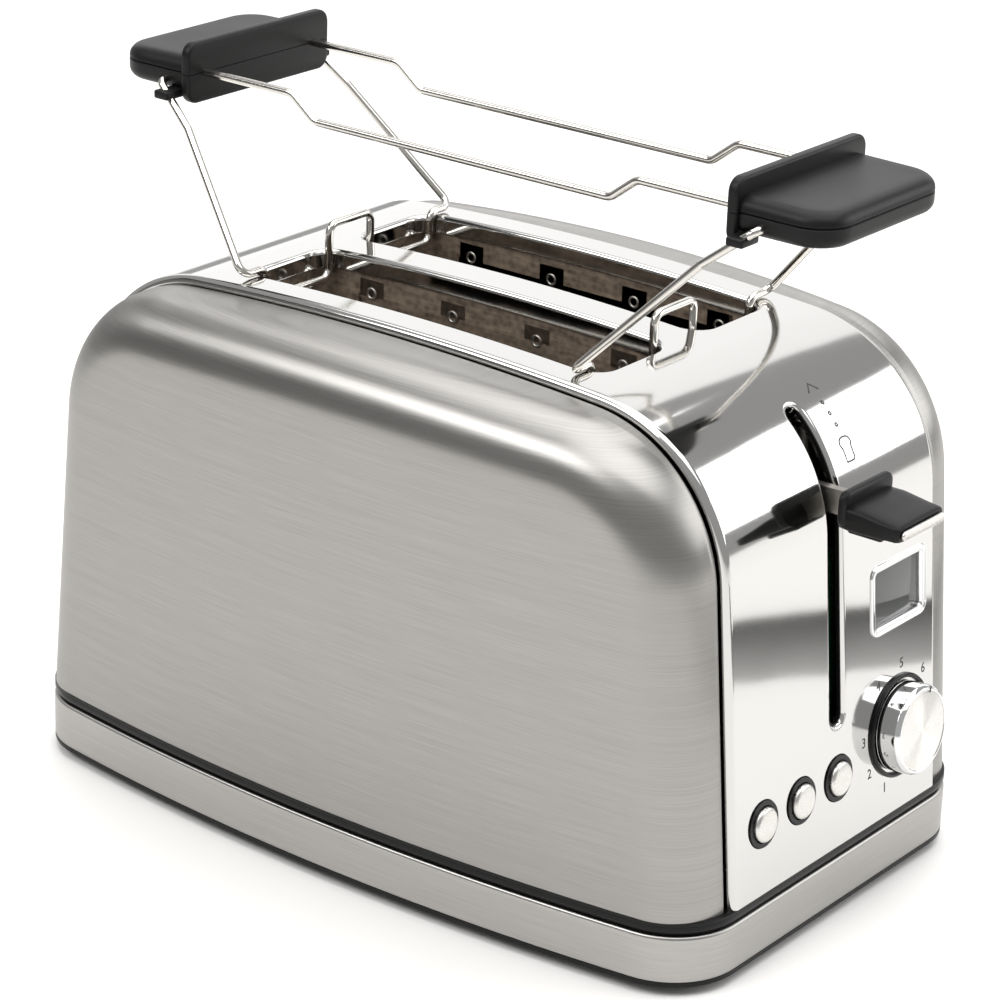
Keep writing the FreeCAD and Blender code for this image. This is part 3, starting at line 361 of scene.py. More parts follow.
def plan_ring(inset=0.0, corner_steps=14, side_steps=36):
    """The base's outline in plan, anticlockwise from the middle of the control end, as (x, y, nx,
    ny)."""
    half_x, radius, bow = SKIRT_HIGH.x, PLAN_CORNER, PLAN_BOW
    middle_y = SKIRT_HIGH.y - bow
    corner_x = half_x - radius
    corner_y = middle_y + math.sqrt((bow - radius) ** 2 - corner_x ** 2)
    turn = math.atan2(corner_y - middle_y, corner_x)
    quarter = [(half_x, y, 1.0, 0.0) for y in (0.0, 12.0, 24.0, 36.0, TRAY_HALF, 55.0)]
    for i in range(corner_steps):
        a = turn * i / corner_steps
        quarter.append((corner_x + radius * math.cos(a), corner_y + radius * math.sin(a), math.cos(a),
                        math.sin(a)))
    for i in range(side_steps // 2):
        a = turn + (math.pi / 2 - turn) * i * 2 / side_steps
        quarter.append((bow * math.cos(a), middle_y + bow * math.sin(a), math.cos(a), math.sin(a)))
    top = [(0.0, SKIRT_HIGH.y, 0.0, 1.0)]
    left = [(-x, y, -nx, ny) for x, y, nx, ny in reversed(quarter)]
    upper = quarter + top + left
    ring = upper + [(x, -y, nx, -ny) for x, y, nx, ny in reversed(upper[1:-1])]
    return [(x - nx * inset, y - ny * inset, nx, ny) for x, y, nx, ny in ring]


def band(profile, skin=None):
    """Sweeps a profile of (inset, height) points round the base's plan."""
    skin = skin or Skin()
    ring = plan_ring()
    rows = [skin.row((x - nx * inset, y - ny * inset, z) for x, y, nx, ny in ring) for inset, z in profile]
    for row, after in zip(rows, rows[1:]):
        skin.between(row, after, closed=True)
    return skin, rows


# ---------------------------------------------------------------- materials

def linear(hex_colour):
    """sRGB hex to linear RGBA."""
    parts = [int(hex_colour[i:i + 2], 16) / 255 for i in (1, 3, 5)]
    return [c / 12.92 if c <= 0.04045 else ((c + 0.055) / 1.055) ** 2.4 for c in parts] + [1.0]


def add_node(tree, kind, sockets=None, **settings):
    """Adds a node with its settings, its socket values and its links."""
    made = tree.nodes.new(kind)
    for key, value in settings.items():
        setattr(made, key, value)
    for key, value in (sockets or {}).items():
        if isinstance(value, bpy.types.NodeSocket):
            tree.links.new(value, made.inputs[key])
        else:
            made.inputs[key].default_value = value
    return made


def per_mm(size):
    """Texture scale, on Object coordinates in metres, that gives a feature of so many millimetres."""
    return 1000.0 / size


def start_material(name):
    material = bpy.data.materials.new(name)
    material.use_nodes = True
    material.node_tree.nodes.clear()
    place = add_node(material.node_tree, "ShaderNodeTexCoord")
    return material, material.node_tree, place.outputs["Object"]


def close_material(tree, **sockets):
    """Principled surface with its sockets, and the output."""
    names = {key.replace("_", " ").title().replace("Ior", "IOR"): value for key, value in sockets.items()}
    shader = add_node(tree, "ShaderNodeBsdfPrincipled", names)
    add_node(tree, "ShaderNodeOutputMaterial", {"Surface": shader.outputs["BSDF"]})
    return shader


def polished_stainless():
    """Mirror-polished stainless sheet: sharp reflections, a trace of buffing haze and slightly
    uneven sheet."""
    material, tree, place = start_material("polished_stainless")
    haze = add_node(tree, "ShaderNodeTexNoise", {"Vector": place, "Scale": per_mm(0.8), "Detail": 3.0})
    gloss = add_node(tree, "ShaderNodeMapRange",
                     {"Value": haze.outputs["Fac"], "To Min": 0.055, "To Max": 0.10})
    sheet = add_node(tree, "ShaderNodeTexNoise", {"Vector": place, "Scale": per_mm(45), "Detail": 1.0})
    bump = add_node(tree, "ShaderNodeBump",
                    {"Height": sheet.outputs["Fac"], "Strength": 0.25, "Distance": 0.0006})
    close_material(tree, base_color=linear("#c9c8c6"), metallic=1.0, roughness=gloss.outputs["Result"],
                   normal=bump.outputs["Normal"])
    return material


def brushed_stainless(name, colour, rough):
    """Stainless sheet brushed along its length: long fine scratches that stretch each highlight
    across them."""
    material, tree, _ = start_material(name)
    along = add_node(tree, "ShaderNodeUVMap", uv_map="brushing")
    # real scratches are about 0.05 mm apart; these are drawn at 0.35 mm so that they show
    stretch = add_node(tree, "ShaderNodeMapping",
                       {"Vector": along.outputs["UV"], "Scale": (0.012, 1.0, 1.0)})
    fine = add_node(tree, "ShaderNodeTexNoise",
                    {"Vector": stretch.outputs["Vector"], "Scale": per_mm(0.35), "Detail": 4.0,
                     "Roughness": 0.65})
    broad = add_node(tree, "ShaderNodeTexNoise",
                     {"Vector": stretch.outputs["Vector"], "Scale": per_mm(3.0), "Detail": 2.0})
    streak = add_node(tree, "ShaderNodeMix",
                      {"Factor": 0.2, "A": fine.outputs["Fac"], "B": broad.outputs["Fac"]})
    tone = add_node(tree, "ShaderNodeValToRGB", {"Fac": streak.outputs["Result"]})
    low, high = tone.color_ramp.elements
    low.position, low.color = 0.3, [c * 0.86 for c in linear(colour)[:3]] + [1.0]
    high.position, high.color = 0.7, [min(1.0, c * 1.10) for c in linear(colour)[:3]] + [1.0]
    gloss = add_node(tree, "ShaderNodeMapRange",
                     {"Value": streak.outputs["Result"], "To Min": rough - 0.05, "To Max": rough + 0.06})
    bump = add_node(tree, "ShaderNodeBump",
                    {"Height": fine.outputs["Fac"], "Strength": 0.10, "Distance": 0.0001})
    tangent = add_node(tree, "ShaderNodeTangent", direction_type="UV_MAP", uv_map="brushing")
    close_material(tree, base_color=tone.outputs["Color"], metallic=1.0, roughness=gloss.outputs["Result"],
                   anisotropic=0.75, normal=bump.outputs["Normal"], tangent=tangent.outputs["Tangent"])
    return material


def spun_aluminium():
    """Turned aluminium disc: circular tool marks that draw bright wedges out from the middle."""
    material, tree, place = start_material("spun_aluminium")
    grain = add_node(tree, "ShaderNodeTexNoise", {"Vector": place, "Scale": per_mm(0.5), "Detail": 3.0})
    gloss = add_node(tree, "ShaderNodeMapRange",
                     {"Value": grain.outputs["Fac"], "To Min": 0.24, "To Max": 0.34})
    tangent = add_node(tree, "ShaderNodeTangent", direction_type="RADIAL", axis="X")
    close_material(tree, base_color=linear("#e4e2de"), metallic=1.0, roughness=gloss.outputs["Result"],
                   anisotropic=0.9, tangent=tangent.outputs["Tangent"])
    return material


def chrome_plate(name, colour, rough):
    """Bright nickel-chrome plating: a clean mirror with a faint grain from the wire or moulding
    under it."""
    material, tree, place = start_material(name)
    grain = add_node(tree, "ShaderNodeTexNoise", {"Vector": place, "Scale": per_mm(1.5), "Detail": 2.0})
    gloss = add_node(tree, "ShaderNodeMapRange",
                     {"Value": grain.outputs["Fac"], "To Min": rough * 0.7, "To Max": rough * 1.4})
    close_material(tree, base_color=linear(colour), metallic=1.0, roughness=gloss.outputs["Result"])
    return material


def moulded_plastic(name, colour, rough, grain_mm, depth_mm):
    """Phenolic or ABS moulding: spark-eroded grain breaks up the highlight, and broad patches
    differ in gloss."""
    material, tree, place = start_material(name)
    grain = add_node(tree, "ShaderNodeTexNoise",
                     {"Vector": place, "Scale": per_mm(grain_mm), "Detail": 3.0})
    patch = add_node(tree, "ShaderNodeTexNoise", {"Vector": place, "Scale": per_mm(30), "Detail": 2.0})
    gloss = add_node(tree, "ShaderNodeMapRange",
                     {"Value": patch.outputs["Fac"], "To Min": rough - 0.06, "To Max": rough + 0.06})
    tone = add_node(tree, "ShaderNodeValToRGB", {"Fac": grain.outputs["Fac"]})
    low, high = tone.color_ramp.elements
    low.color = [c * 0.75 for c in linear(colour)[:3]] + [1.0]
    high.color = [c * 1.3 for c in linear(colour)[:3]] + [1.0]
    bump = add_node(tree, "ShaderNodeBump",
                    {"Height": grain.outputs["Fac"], "Strength": 0.5, "Distance": depth_mm / 1000})
    close_material(tree, base_color=tone.outputs["Color"], roughness=gloss.outputs["Result"], ior=1.5,
                   specular_ior_level=0.22, normal=bump.outputs["Normal"])
    return material


def mica_board():
    """Pressed mica paper: brown-grey flakes in faint layers, satin where they lie flat."""
    material, tree, place = start_material("mica_board")
    flake = add_node(tree, "ShaderNodeTexVoronoi", {"Vector": place, "Scale": per_mm(2.2)})
    layer = add_node(tree, "ShaderNodeMapping", {"Vector": place, "Scale": (0.15, 1.0, 1.0)})
    streak = add_node(tree, "ShaderNodeTexNoise",
                      {"Vector": layer.outputs["Vector"], "Scale": per_mm(1.6), "Detail": 5.0})
    mixed = add_node(tree, "ShaderNodeMix",
                     {"Factor": 0.7, "A": flake.outputs["Distance"], "B": streak.outputs["Fac"]})
    tone = add_node(tree, "ShaderNodeValToRGB", {"Fac": mixed.outputs["Result"]})
    low, high = tone.color_ramp.elements
    low.position, low.color = 0.25, linear("#453a31")
    high.position, high.color = 0.75, linear("#8f7f6e")
    bump = add_node(tree, "ShaderNodeBump",
                    {"Height": streak.outputs["Fac"], "Strength": 0.4, "Distance": 0.0002})
    close_material(tree, base_color=tone.outputs["Color"], roughness=0.5, ior=1.58,
                   normal=bump.outputs["Normal"])
    return material


def worn_sheet(name, dark, light, rough):
    """Plated steel inside the case: cloudy spangle, darker where heat has browned it."""
    material, tree, place = start_material(name)
    spangle = add_node(tree, "ShaderNodeTexVoronoi", {"Vector": place, "Scale": per_mm(6)})
    cloud = add_node(tree, "ShaderNodeTexNoise", {"Vector": place, "Scale": per_mm(18), "Detail": 5.0})
    mixed = add_node(tree, "ShaderNodeMix",
                     {"Factor": 0.75, "A": spangle.outputs["Distance"], "B": cloud.outputs["Fac"]})
    tone = add_node(tree, "ShaderNodeValToRGB", {"Fac": mixed.outputs["Result"]})
    low, high = tone.color_ramp.elements
    low.position, low.color = 0.25, linear(dark)
    high.position, high.color = 0.75, linear(light)
    gloss = add_node(tree, "ShaderNodeMapRange",
                     {"Value": cloud.outputs["Fac"], "To Min": rough - 0.08, "To Max": rough + 0.1})
    close_material(tree, base_color=tone.outputs["Color"], metallic=1.0, roughness=gloss.outputs["Result"])
    return material


def smoked_window():
    """Smoked acrylic window: clear, dark and glossy, with the faintest orange peel."""
    material, tree, place = start_material("smoked_window")
    peel = add_node(tree, "ShaderNodeTexNoise", {"Vector": place, "Scale": per_mm(4), "Detail": 1.0})
    bump = add_node(tree, "ShaderNodeBump",
                    {"Height": peel.outputs["Fac"], "Strength": 0.1, "Distance": 0.0001})
    close_material(tree, base_color=linear("#6a6c6a"), roughness=0.05, ior=1.49, transmission_weight=0.45,
                   normal=bump.outputs["Normal"])
    return material


def display_cell():
    """Reflective liquid-crystal cell, switched off: grey-green, with a faint sheen."""
    material, tree, place = start_material("display_cell")
    cloud = add_node(tree, "ShaderNodeTexNoise", {"Vector": place, "Scale": per_mm(14), "Detail": 2.0})
    tone = add_node(tree, "ShaderNodeValToRGB", {"Fac": cloud.outputs["Fac"]})
    low, high = tone.color_ramp.elements
    low.color, high.color = linear("#3a3b39"), linear("#666763")
    close_material(tree, base_color=tone.outputs["Color"], roughness=0.35, ior=1.5)
    return material


def printed_ink(name, colour):
    """Screen-printed enamel ink: flat, a little uneven at close range."""
    material, tree, place = start_material(name)
    mottle = add_node(tree, "ShaderNodeTexNoise", {"Vector": place, "Scale": per_mm(0.4), "Detail": 2.0})
    gloss = add_node(tree, "ShaderNodeMapRange",
                     {"Value": mottle.outputs["Fac"], "To Min": 0.4, "To Max": 0.6})
    close_material(tree, base_color=linear(colour), roughness=gloss.outputs["Result"], ior=1.5)
    return material


def heating_ribbon():
    """Nickel-chromium ribbon, oxidised by use: dull brown-grey metal."""
    return worn_sheet("nichrome_ribbon", "#4c443d", "#8c8379", 0.45)


def circuit_laminate():
    """Glass-epoxy board under green solder resist: a woven ground under a glossy film."""
    material, tree, place = start_material("circuit_laminate")
    weave = add_node(tree, "ShaderNodeTexChecker", {"Vector": place, "Scale": per_mm(0.8)})
    weave.inputs["Color1"].default_value = linear("#0e4a2c")
    weave.inputs["Color2"].default_value = linear("#125634")
    close_material(tree, base_color=weave.outputs["Color"], roughness=0.25, ior=1.55)
    return material


def rubber_foot():
    """Moulded nitrile rubber: deep black, fully matt, with a dusty grain."""
    return moulded_plastic("nitrile_rubber", "#191919", 0.8, 0.6, 0.05)


MIRROR = polished_stainless()
PANEL_STEEL = brushed_stainless("brushed_stainless_panel", "#9d9b98", 0.35)
SKIRT_STEEL = brushed_stainless("brushed_stainless_skirt", "#adaba8", 0.33)
DIAL_FACE = spun_aluminium()
CHROME = chrome_plate("bright_chrome", "#e2e2e2", 0.06)
WIRE_CHROME = chrome_plate("nickel_plated_wire", "#cfccc6", 0.13)
BUTTON_METAL = chrome_plate("satin_chrome", "#d3d1cd", 0.28)
BLACK_ABS = moulded_plastic("grained_black_phenolic", "#0f0f0f", 0.42, 0.45, 0.05)
GLOSS_ABS = moulded_plastic("smooth_black_abs", "#0a0a0a", 0.22, 0.8, 0.01)
INK = printed_ink("black_enamel_ink", "#2a2a2a")
MICA = mica_board()
ZINC = worn_sheet("zinc_plated_steel", "#8b8781", "#bdb9b2", 0.35)
BROWNED = worn_sheet("heat_browned_steel", "#5d5147", "#8f8376", 0.38)
NICHROME = heating_ribbon()
COPPER = worn_sheet("enamelled_copper", "#7c3a18", "#b5622d", 0.3)
RUBBER = rubber_foot()
WINDOW = smoked_window()
DISPLAY = display_cell()
LAMINATE = circuit_laminate()


def brush_map(obj, length_of, height_of):
    """UV map whose U runs along the brushing, in metres."""
    layer = obj.data.uv_layers.new(name="brushing")
    spots = obj.data.vertices
    for loop in obj.data.loops:
        spot = spots[loop.vertex_index].co
        layer.data[loop.index].uv = (length_of(spot), height_of(spot))


# ---------------------------------------------------------------- polished wrap

def wrap_openings():
    """Outlines of the openings, as (length, y) on the wrap, with edge radius and depth of the
    turned edge."""
    half_crown = CROWN_ARC * math.asin(SLOT_LENGTH / 2 / CROWN_ARC)
    made = []
    for side in (-1, 1):
        made.append((even(rounded_rectangle(half_crown, SLOT_WIDTH / 2, SLOT_CORNER, 10,
                                            (arch.half, SLOT_Y * side)), 2.5), 1.8, 6.0))
    low, top = arch.at_height(TRACK_LOW), arch.at_height(TRACK_TOP)
    made.append((even(rounded_rectangle((top - low) / 2, TRACK_HALF, TRACK_HALF, 10,
                                        ((top + low) / 2, 0)), 2.5),
                 1.7, 3.4))
    made.append((even(rounded_rectangle(WINDOW_HALF_UP + 0.2, WINDOW_HALF_Y + 0.2, 1.2, 4,
                                        (WINDOW_UP, WINDOW_Y)), 2.5), 0.4, 1.2))
    made.append((rounded_rectangle(4.0, 4.0, 4.0, 6, (DIAL_UP, DIAL_Y)), 0.3, 1.2))
    for y in BUTTONS.values():
        made.append((rounded_rectangle(BUTTON_HOLE, BUTTON_HOLE, BUTTON_HOLE, 10, (BUTTON_UP, y)), 0.3,
                     1.2))
    return made


def turned_edge(skin, outline, radius, depth):
    """Sheet rolled down into an opening: a quarter round, then a straight wall."""
    rows = []
    for angle, inset in [(90 * i / 5, 0.0) for i in range(6)] + [(90, depth)]:
        a = math.radians(angle)
        out, down = radius * (1 - math.sin(a)), max(inset, radius * (1 - math.cos(a)))
        row = []
        for length, y, toward_length, toward_y in outline:
            spot, normal = on_wrap(length + toward_length * out, y + toward_y * out, down)
            along = Vector((-normal.z, 0, normal.x))
            outward = along * toward_length + Vector((0, toward_y, 0))
            row.append(skin.add(spot, (normal * math.cos(a) - outward * math.sin(a)).normalized()))
        rows.append(row)
    for row, after in zip(rows, rows[1:]):
        skin.between(row, after, closed=True)


def inside(points, loop):
    """Which points lie inside a closed loop."""
    x, y = points[:, 0], points[:, 1]
    found = np.zeros(len(points), bool)
    for (x0, y0), (x1, y1) in zip(loop, loop[1:] + loop[:1]):
        if y0 == y1:
            continue
        found ^= ((y0 > y) != (y1 > y)) & (x < (x1 - x0) * (y - y0) / (y1 - y0) + x0)
    return found


def make_wrap():
    skin = Skin()
    openings = wrap_openings()
    lengths = arch.stations(0.0, 34, 30, 96)
    flat_half = HALF_WRAP - WRAP_ROLL
    across = [-flat_half + 2 * flat_half * i / 38 for i in range(39)]
    holes = [[(s + ts * radius, y + ty * radius) for s, y, ts, ty in outline] for outline, radius,
             _ in openings]
    corners = [(s, y) for s in lengths for y in across]
    grid = np.array(corners)
    free = np.ones(len(grid), bool)
    for outline, radius, _ in openings:
        margin = [(s + ts * (radius + 1.0), y + ty * (radius + 1.0)) for s, y, ts, ty in outline]
        free &= ~inside(grid, margin)
    points = [corner for corner, keep in zip(corners, free) if keep]
    edges = []
    for hole in holes:
        first = len(points)
        points += hole
        edges += [(first + i, first + (i + 1) % len(hole)) for i in range(len(hole))]
    flat, _, triangles, *_ = delaunay_2d_cdt([Vector(p) for p in points], edges, [], 0, 1e-5)
    places = np.array([tuple(p) for p in flat])
    centres = np.array([places[list(t)].mean(0) for t in triangles])
    keep = np.ones(len(centres), bool)
    for hole in holes:
        keep &= ~inside(centres, hole)
    indices = [skin.add(*on_wrap(s, y)) for s, y in places]
    for triangle, wanted in zip(triangles, keep):
        if not wanted:
            continue
        a, b, c = [indices[i] for i in triangle]
        normal = (skin.points[b] - skin.points[a]).cross(skin.points[c] - skin.points[a])
        skin.face(*((a, b, c) if normal.dot(skin.normals[a]) > 0 else (a, c, b)))
    for outline, radius, depth in openings:
        turned_edge(skin, outline, radius, depth)
    for side in (-1, 1):
        rows = []
        for angle, extra in [(90 * i / 7, 0) for i in range(8)] + [(90, 2.5)]:
            a = math.radians(angle)
            row = []
            for s in lengths:
                spot, normal = on_wrap(s, side * (flat_half + WRAP_ROLL * math.sin(a)),
                                       WRAP_ROLL * (1 - math.cos(a)) + extra)
                row.append(skin.add(spot,
                                    (normal * math.cos(a) + Vector((0, side,
                                                                    0)) * math.sin(a)).normalized()))
            rows.append(row)
        for row, after in zip(rows, rows[1:]):
            skin.between(*((after, row) if side > 0 else (row, after)))
    skin.agree()
    skin.thicken(SHEET)
    return publish("polished_wrap", skin, MIRROR, nodes=["wrap_shell"])


# ---------------------------------------------------------------- brushed side panels

def bow_at(x):
    """How far out the panel's bowed face stands at a place along it, before its rounding."""
    bow = PLAN_BOW - 0.4
    return math.sqrt(bow ** 2 - x ** 2) - PLAN_BOW + SKIRT_HIGH.y


def rounding(length):
    """Panel section at one place on the arch: (inset, distance out) from the wrap's side to the
    flat face."""
    start = HALF_WRAP + PANEL_GAP
    inset, slope, face = PANEL_ROUND, 0.0, 0.0
    for _ in range(3):
        spot, normal = arch.at(length)
        x = spot.x - normal.x * (PANEL_INSET + inset)
        slope = abs(x) / math.sqrt(PLAN_BOW ** 2 - x ** 2) * abs(normal.x)
        slant = math.sqrt(1 + slope ** 2)
        inset = PANEL_ROUND - PANEL_ROUND * slope / slant
        face = bow_at(x)
    level = face - slope * inset + slope * PANEL_ROUND - PANEL_ROUND * slant
    made = [(0.9, start), (0.25, start + 0.2), (0.0, start + 0.8)]
    made += [(0.0, start + 0.8 + (level - start - 0.8) * i / 3) for i in (1, 2)]
    top = math.degrees(math.pi / 2 + math.atan(slope))
    return made + arc_points((PANEL_ROUND, level), PANEL_ROUND, 180, top, 16)


def make_side_panel(name, side):
    skin = Skin()
    base = arch.stations(0.0, 26, 30, 48)
    sections = [rounding(s) for s in base]
    count = len(sections[0])
    rows = []
    for k in range(count):
        row = []
        lengths = arch.stations(PANEL_INSET + sections[0][k][0], 26, 30, 48)
        for section, length in zip(sections, lengths):
            spot, normal = arch.at(length)
            spot = spot - normal * (PANEL_INSET + section[k][0])
            row.append((spot.x, section[k][1] * side, spot.y))
        row[0], row[-1] = [(x, y, DECK_TOP) for x, y, _ in (row[0], row[-1])]
        rows.append(row)
    for inset in (24, 28, 33, 38, 43, 47):
        row = []
        for length in arch.stations(PANEL_INSET + inset, 26, 30, 48):
            spot, normal = arch.at(length)
            spot = spot - normal * (PANEL_INSET + inset)
            row.append((spot.x, bow_at(spot.x) * side, spot.y))
        rows.append(row)
    close_rows(skin, rows, 26, lambda x, y, z: (x, bow_at(x) * side, z))
    skin_faces(skin, side > 0)
    skin.thicken(PANEL_WALL)
    piece = publish(name.replace("side_panel", "brushed_panel"), skin, PANEL_STEEL, nodes=[name],
                    sharp=60)
    brush_map(piece, lambda p: p.x, lambda p: p.z)
    return piece


def close_rows(skin, rows, across, settle=lambda x, y, z: (x, y, z), square_tip=False):
    """Quads between nested open rings, then rows straight across the last one, which is its own
    mirror image."""
    made = [skin.row(row) for row in rows]
    for row, after in zip(made, made[1:]):
        skin.between(row, after)
    last = rows[-1]
    count = len(last) - 1
    bars = []
    stop = (count - across) // 2 if square_tip else count // 2
    for i in range(stop + 1):
        if square_tip and i == stop:
            bars.append(skin.row(last[i:count - i + 1]))
            continue
        a, b = Vector(last[i]), Vector(last[count - i])
        bar = [a.lerp(b, k / across) for k in range(across + 1)]
        bar = [last[i]] + [settle(*p) for p in bar[1:-1]] + [last[count - i]]
        bars.append(skin.row(bar))
    for bar, after in zip(bars, bars[1:]):
        skin.between(after, bar)


def skin_faces(skin, turn):
    if turn:
        skin.faces = [tuple(reversed(face)) for face in skin.faces]


# ---------------------------------------------------------------- base

def make_base():
    low, top = SKIRT_LOW.z, SKIRT_HIGH.z
    foot = soften([(0.9, low + 0.05), (0.15, low), (0.0, low + 0.3)], 0.2, 2)
    shoulder = soften([(0.0, TRAY_TOP + 1.0), (0.0, top), (4.0, top)], 1.6, 6)
    skirt, _ = band(foot + [(0.0, TRAY_LOW), (0.0, TRAY_TOP)] + shoulder)
    skirt.faces = [face for face in skirt.faces if not over_tray([skirt.points[i] for i in face])]
    skirt.thicken(0.9)
    piece = publish("brushed_skirt", skirt, SKIRT_STEEL, nodes=["base_skirt"],
                    sharp=50)
    brush_map(piece, lambda p: p.x * 0.8 + p.y, lambda p: p.z)

    # stands just proud of the deck's own solid, with the softer edges of the real moulding
    groove_in, edge_in, groove_top = 1.5, 0.12, DECK_LOW.z + 1.4
    profile = [(8.0, DECK_LOW.z - 0.04), (groove_in, DECK_LOW.z - 0.04), (groove_in, groove_top),
               (edge_in + 0.2, groove_top), (edge_in, groove_top + 0.4), (edge_in, DECK_TOP - 1.0),
               (1.0, DECK_TOP + 0.05), (3.0, DECK_TOP + 0.05)]
    deck, _ = band(soften(profile, 0.6, 4))
    publish("deck_moulding", deck, GLOSS_ABS, sharp=40)


def over_tray(corners):
    """Whether a face of the skirt lies over the crumb tray's opening, in the end away from the
    controls."""
    return all(c.x < -SKIRT_HIGH.x + 1 and abs(c.y) < TRAY_HALF + 0.01
               and TRAY_LOW - 0.01 < c.z < TRAY_TOP + 0.01 for c in corners)


def make_feet():
    for corner in ("front_near", "front_far", "back_near", "back_far"):
        low, high = span(f"foot_{corner}")
        radius = (high.x - low.x) / 2
        spot = Vector(((low.x + high.x) / 2, (low.y + high.y) / 2, 0))
        profile = soften([(0, 0.5), (3.0, 0.5), (3.6, 0.0), (radius - 1.0, 0.0), (radius, high.z)], 0.5, 3)
        publish(f"rubber_foot_{corner}", spin(profile, Matrix.Translation(spot), 48), RUBBER,
                nodes=[f"foot_{corner}"], outward=True)


# ---------------------------------------------------------------- control end

def make_dial():
    ring = soften([(17.05, -0.4), (17.15, 0.9), (16.2, 1.25), (15.6, 0.9), (15.45, -0.4)], 0.4, 3)
    publish("dial_surround", spin(ring, end_face(DIAL_UP, DIAL_Y), 96), GLOSS_ABS, nodes=["dial_ring"],
            outward=True)
    knob = soften([(3.05, 0.6), (14.5, 0.6), (14.7, 1.2), (14.7, 7.6), (13.8, 9.0), (13.2, 9.0),
                   (13.0, 8.85)],
                  0.35, 3)
    publish("dial_cap", spin(knob, end_face(DIAL_UP, DIAL_Y), 128), CHROME, "dial", ["dial_knob"],
            outward=True)
    face = [(13.15, 8.6), (13.05, 8.8), (11.0, 8.86), (0.4, 8.9), (0, 8.9)]
    publish("dial_inlay", spin(face, end_face(DIAL_UP, DIAL_Y), 128), DIAL_FACE, "dial")
    pointer = rounded_rectangle(0.35, 1.1, 0.3, 3, (0, 0))
    place = end_face(DIAL_UP, DIAL_Y, 8.99) @ Matrix.Rotation(math.radians(-20), 4,
                                                              "Z") @ Matrix.Translation((0, 13.4, 0))
    publish("dial_pointer", plate(pointer, 0.06, 0.02, place, steps=1), INK, "dial")


def glyph(name, text, size, place, body="root"):
    """Printed figure as a thin mesh."""
    data = bpy.data.curves.new(name, "FONT")
    data.body, data.size, data.extrude = text, size / 1000, 0.00003
    data.align_x, data.align_y = "CENTER", "CENTER"
    data.resolution_u = 3
    holder = bpy.data.objects.new(name, data)
    bpy.context.scene.collection.objects.link(holder)
    graph = bpy.context.evaluated_depsgraph_get()
    mesh = bpy.data.meshes.new_from_object(holder.evaluated_get(graph))
    bpy.data.objects.remove(holder)
    spot = place.copy()
    spot.translation = place.translation / 1000
    mesh.transform(spot)
    return hang(bpy.data.objects.new(name, mesh), INK, body)


def make_marks():
    """Browning levels round the dial, and by the lever a slice of bread with an arrow for lifting
    it high."""
    for level, angle in zip("123456", (205, 238, 272, 325, 5, 45)):
        a = math.radians(angle)
        place = end_face(DIAL_UP + 20.6 * math.cos(a), DIAL_Y + 20.6 * math.sin(a), 0.03)
        glyph(f"level_{level}", level, 4.8, place)
    slice_up, mark_y, out = arch.at_height(150), 14.5, 0.05
    outline = [(-2.2, -4.0), (2.2, -4.0), (2.2, 0.4), (3.0, 1.6), (2.4, 3.4), (0, 4.0), (-2.4, 3.4),
               (-3.0, 1.6),
               (-2.2, 0.4), (-2.2, -4.0)]
    draw_line("slice_mark", soften(outline, 1.2, 3), slice_up, mark_y, out)
    draw_line("arrow_mark", [(-2.6, 20.5), (0, 23.5), (2.6, 20.5)], slice_up, mark_y, out)
    for i in range(3):
        rise = 8.0 + 4.0 * i
        dot = [(0.55 * math.cos(a), rise + 0.55 * math.sin(a))
               for a in [math.pi / 5 * k for k in range(11)]]
        draw_line(f"dot_mark_{i + 1}", dot, slice_up, mark_y, out)


def draw_line(name, outline, start, y, out, half=0.28):
    """Printed line on the wrap, given as (across, up) from a place on its face."""
    skin = Skin()
    left, right = [], []
    for i, here in enumerate(outline):
        before, after = Vector(outline[max(i - 1, 0)]), Vector(outline[min(i + 1, len(outline) - 1)])
        along = (after - before).normalized() * half
        for row, sense in ((left, 1), (right, -1)):
            u, v = here[0] - along.y * sense, here[1] + along.x * sense
            row.append(skin.add(on_wrap(start + v, y + u, -out)[0]))
    skin.between(right, left)
    skin.thicken(0.04)
    publish(name, skin, INK)


def make_buttons():
    for name, y in BUTTONS.items():
        place = end_face(BUTTON_UP, y)
        cap = soften([(5.2, -2.6), (5.6, -2.2), (5.6, 1.35), (4.9, 2.05), (2.6, 2.2), (0, 2.2)], 0.55, 4)
        publish(f"{name}_cap", spin(cap, place, 64), BUTTON_METAL, name, [name],
                outward=True)
        rim = soften([(7.45, -1.8), (7.45, 0.1), (7.2, 0.5), (6.5, 0.3), (6.05, -0.6), (6.0, -2.6)],
                     0.35, 3)
        publish(f"{name}_surround", spin(rim, place, 64), GLOSS_ABS, outward=True)


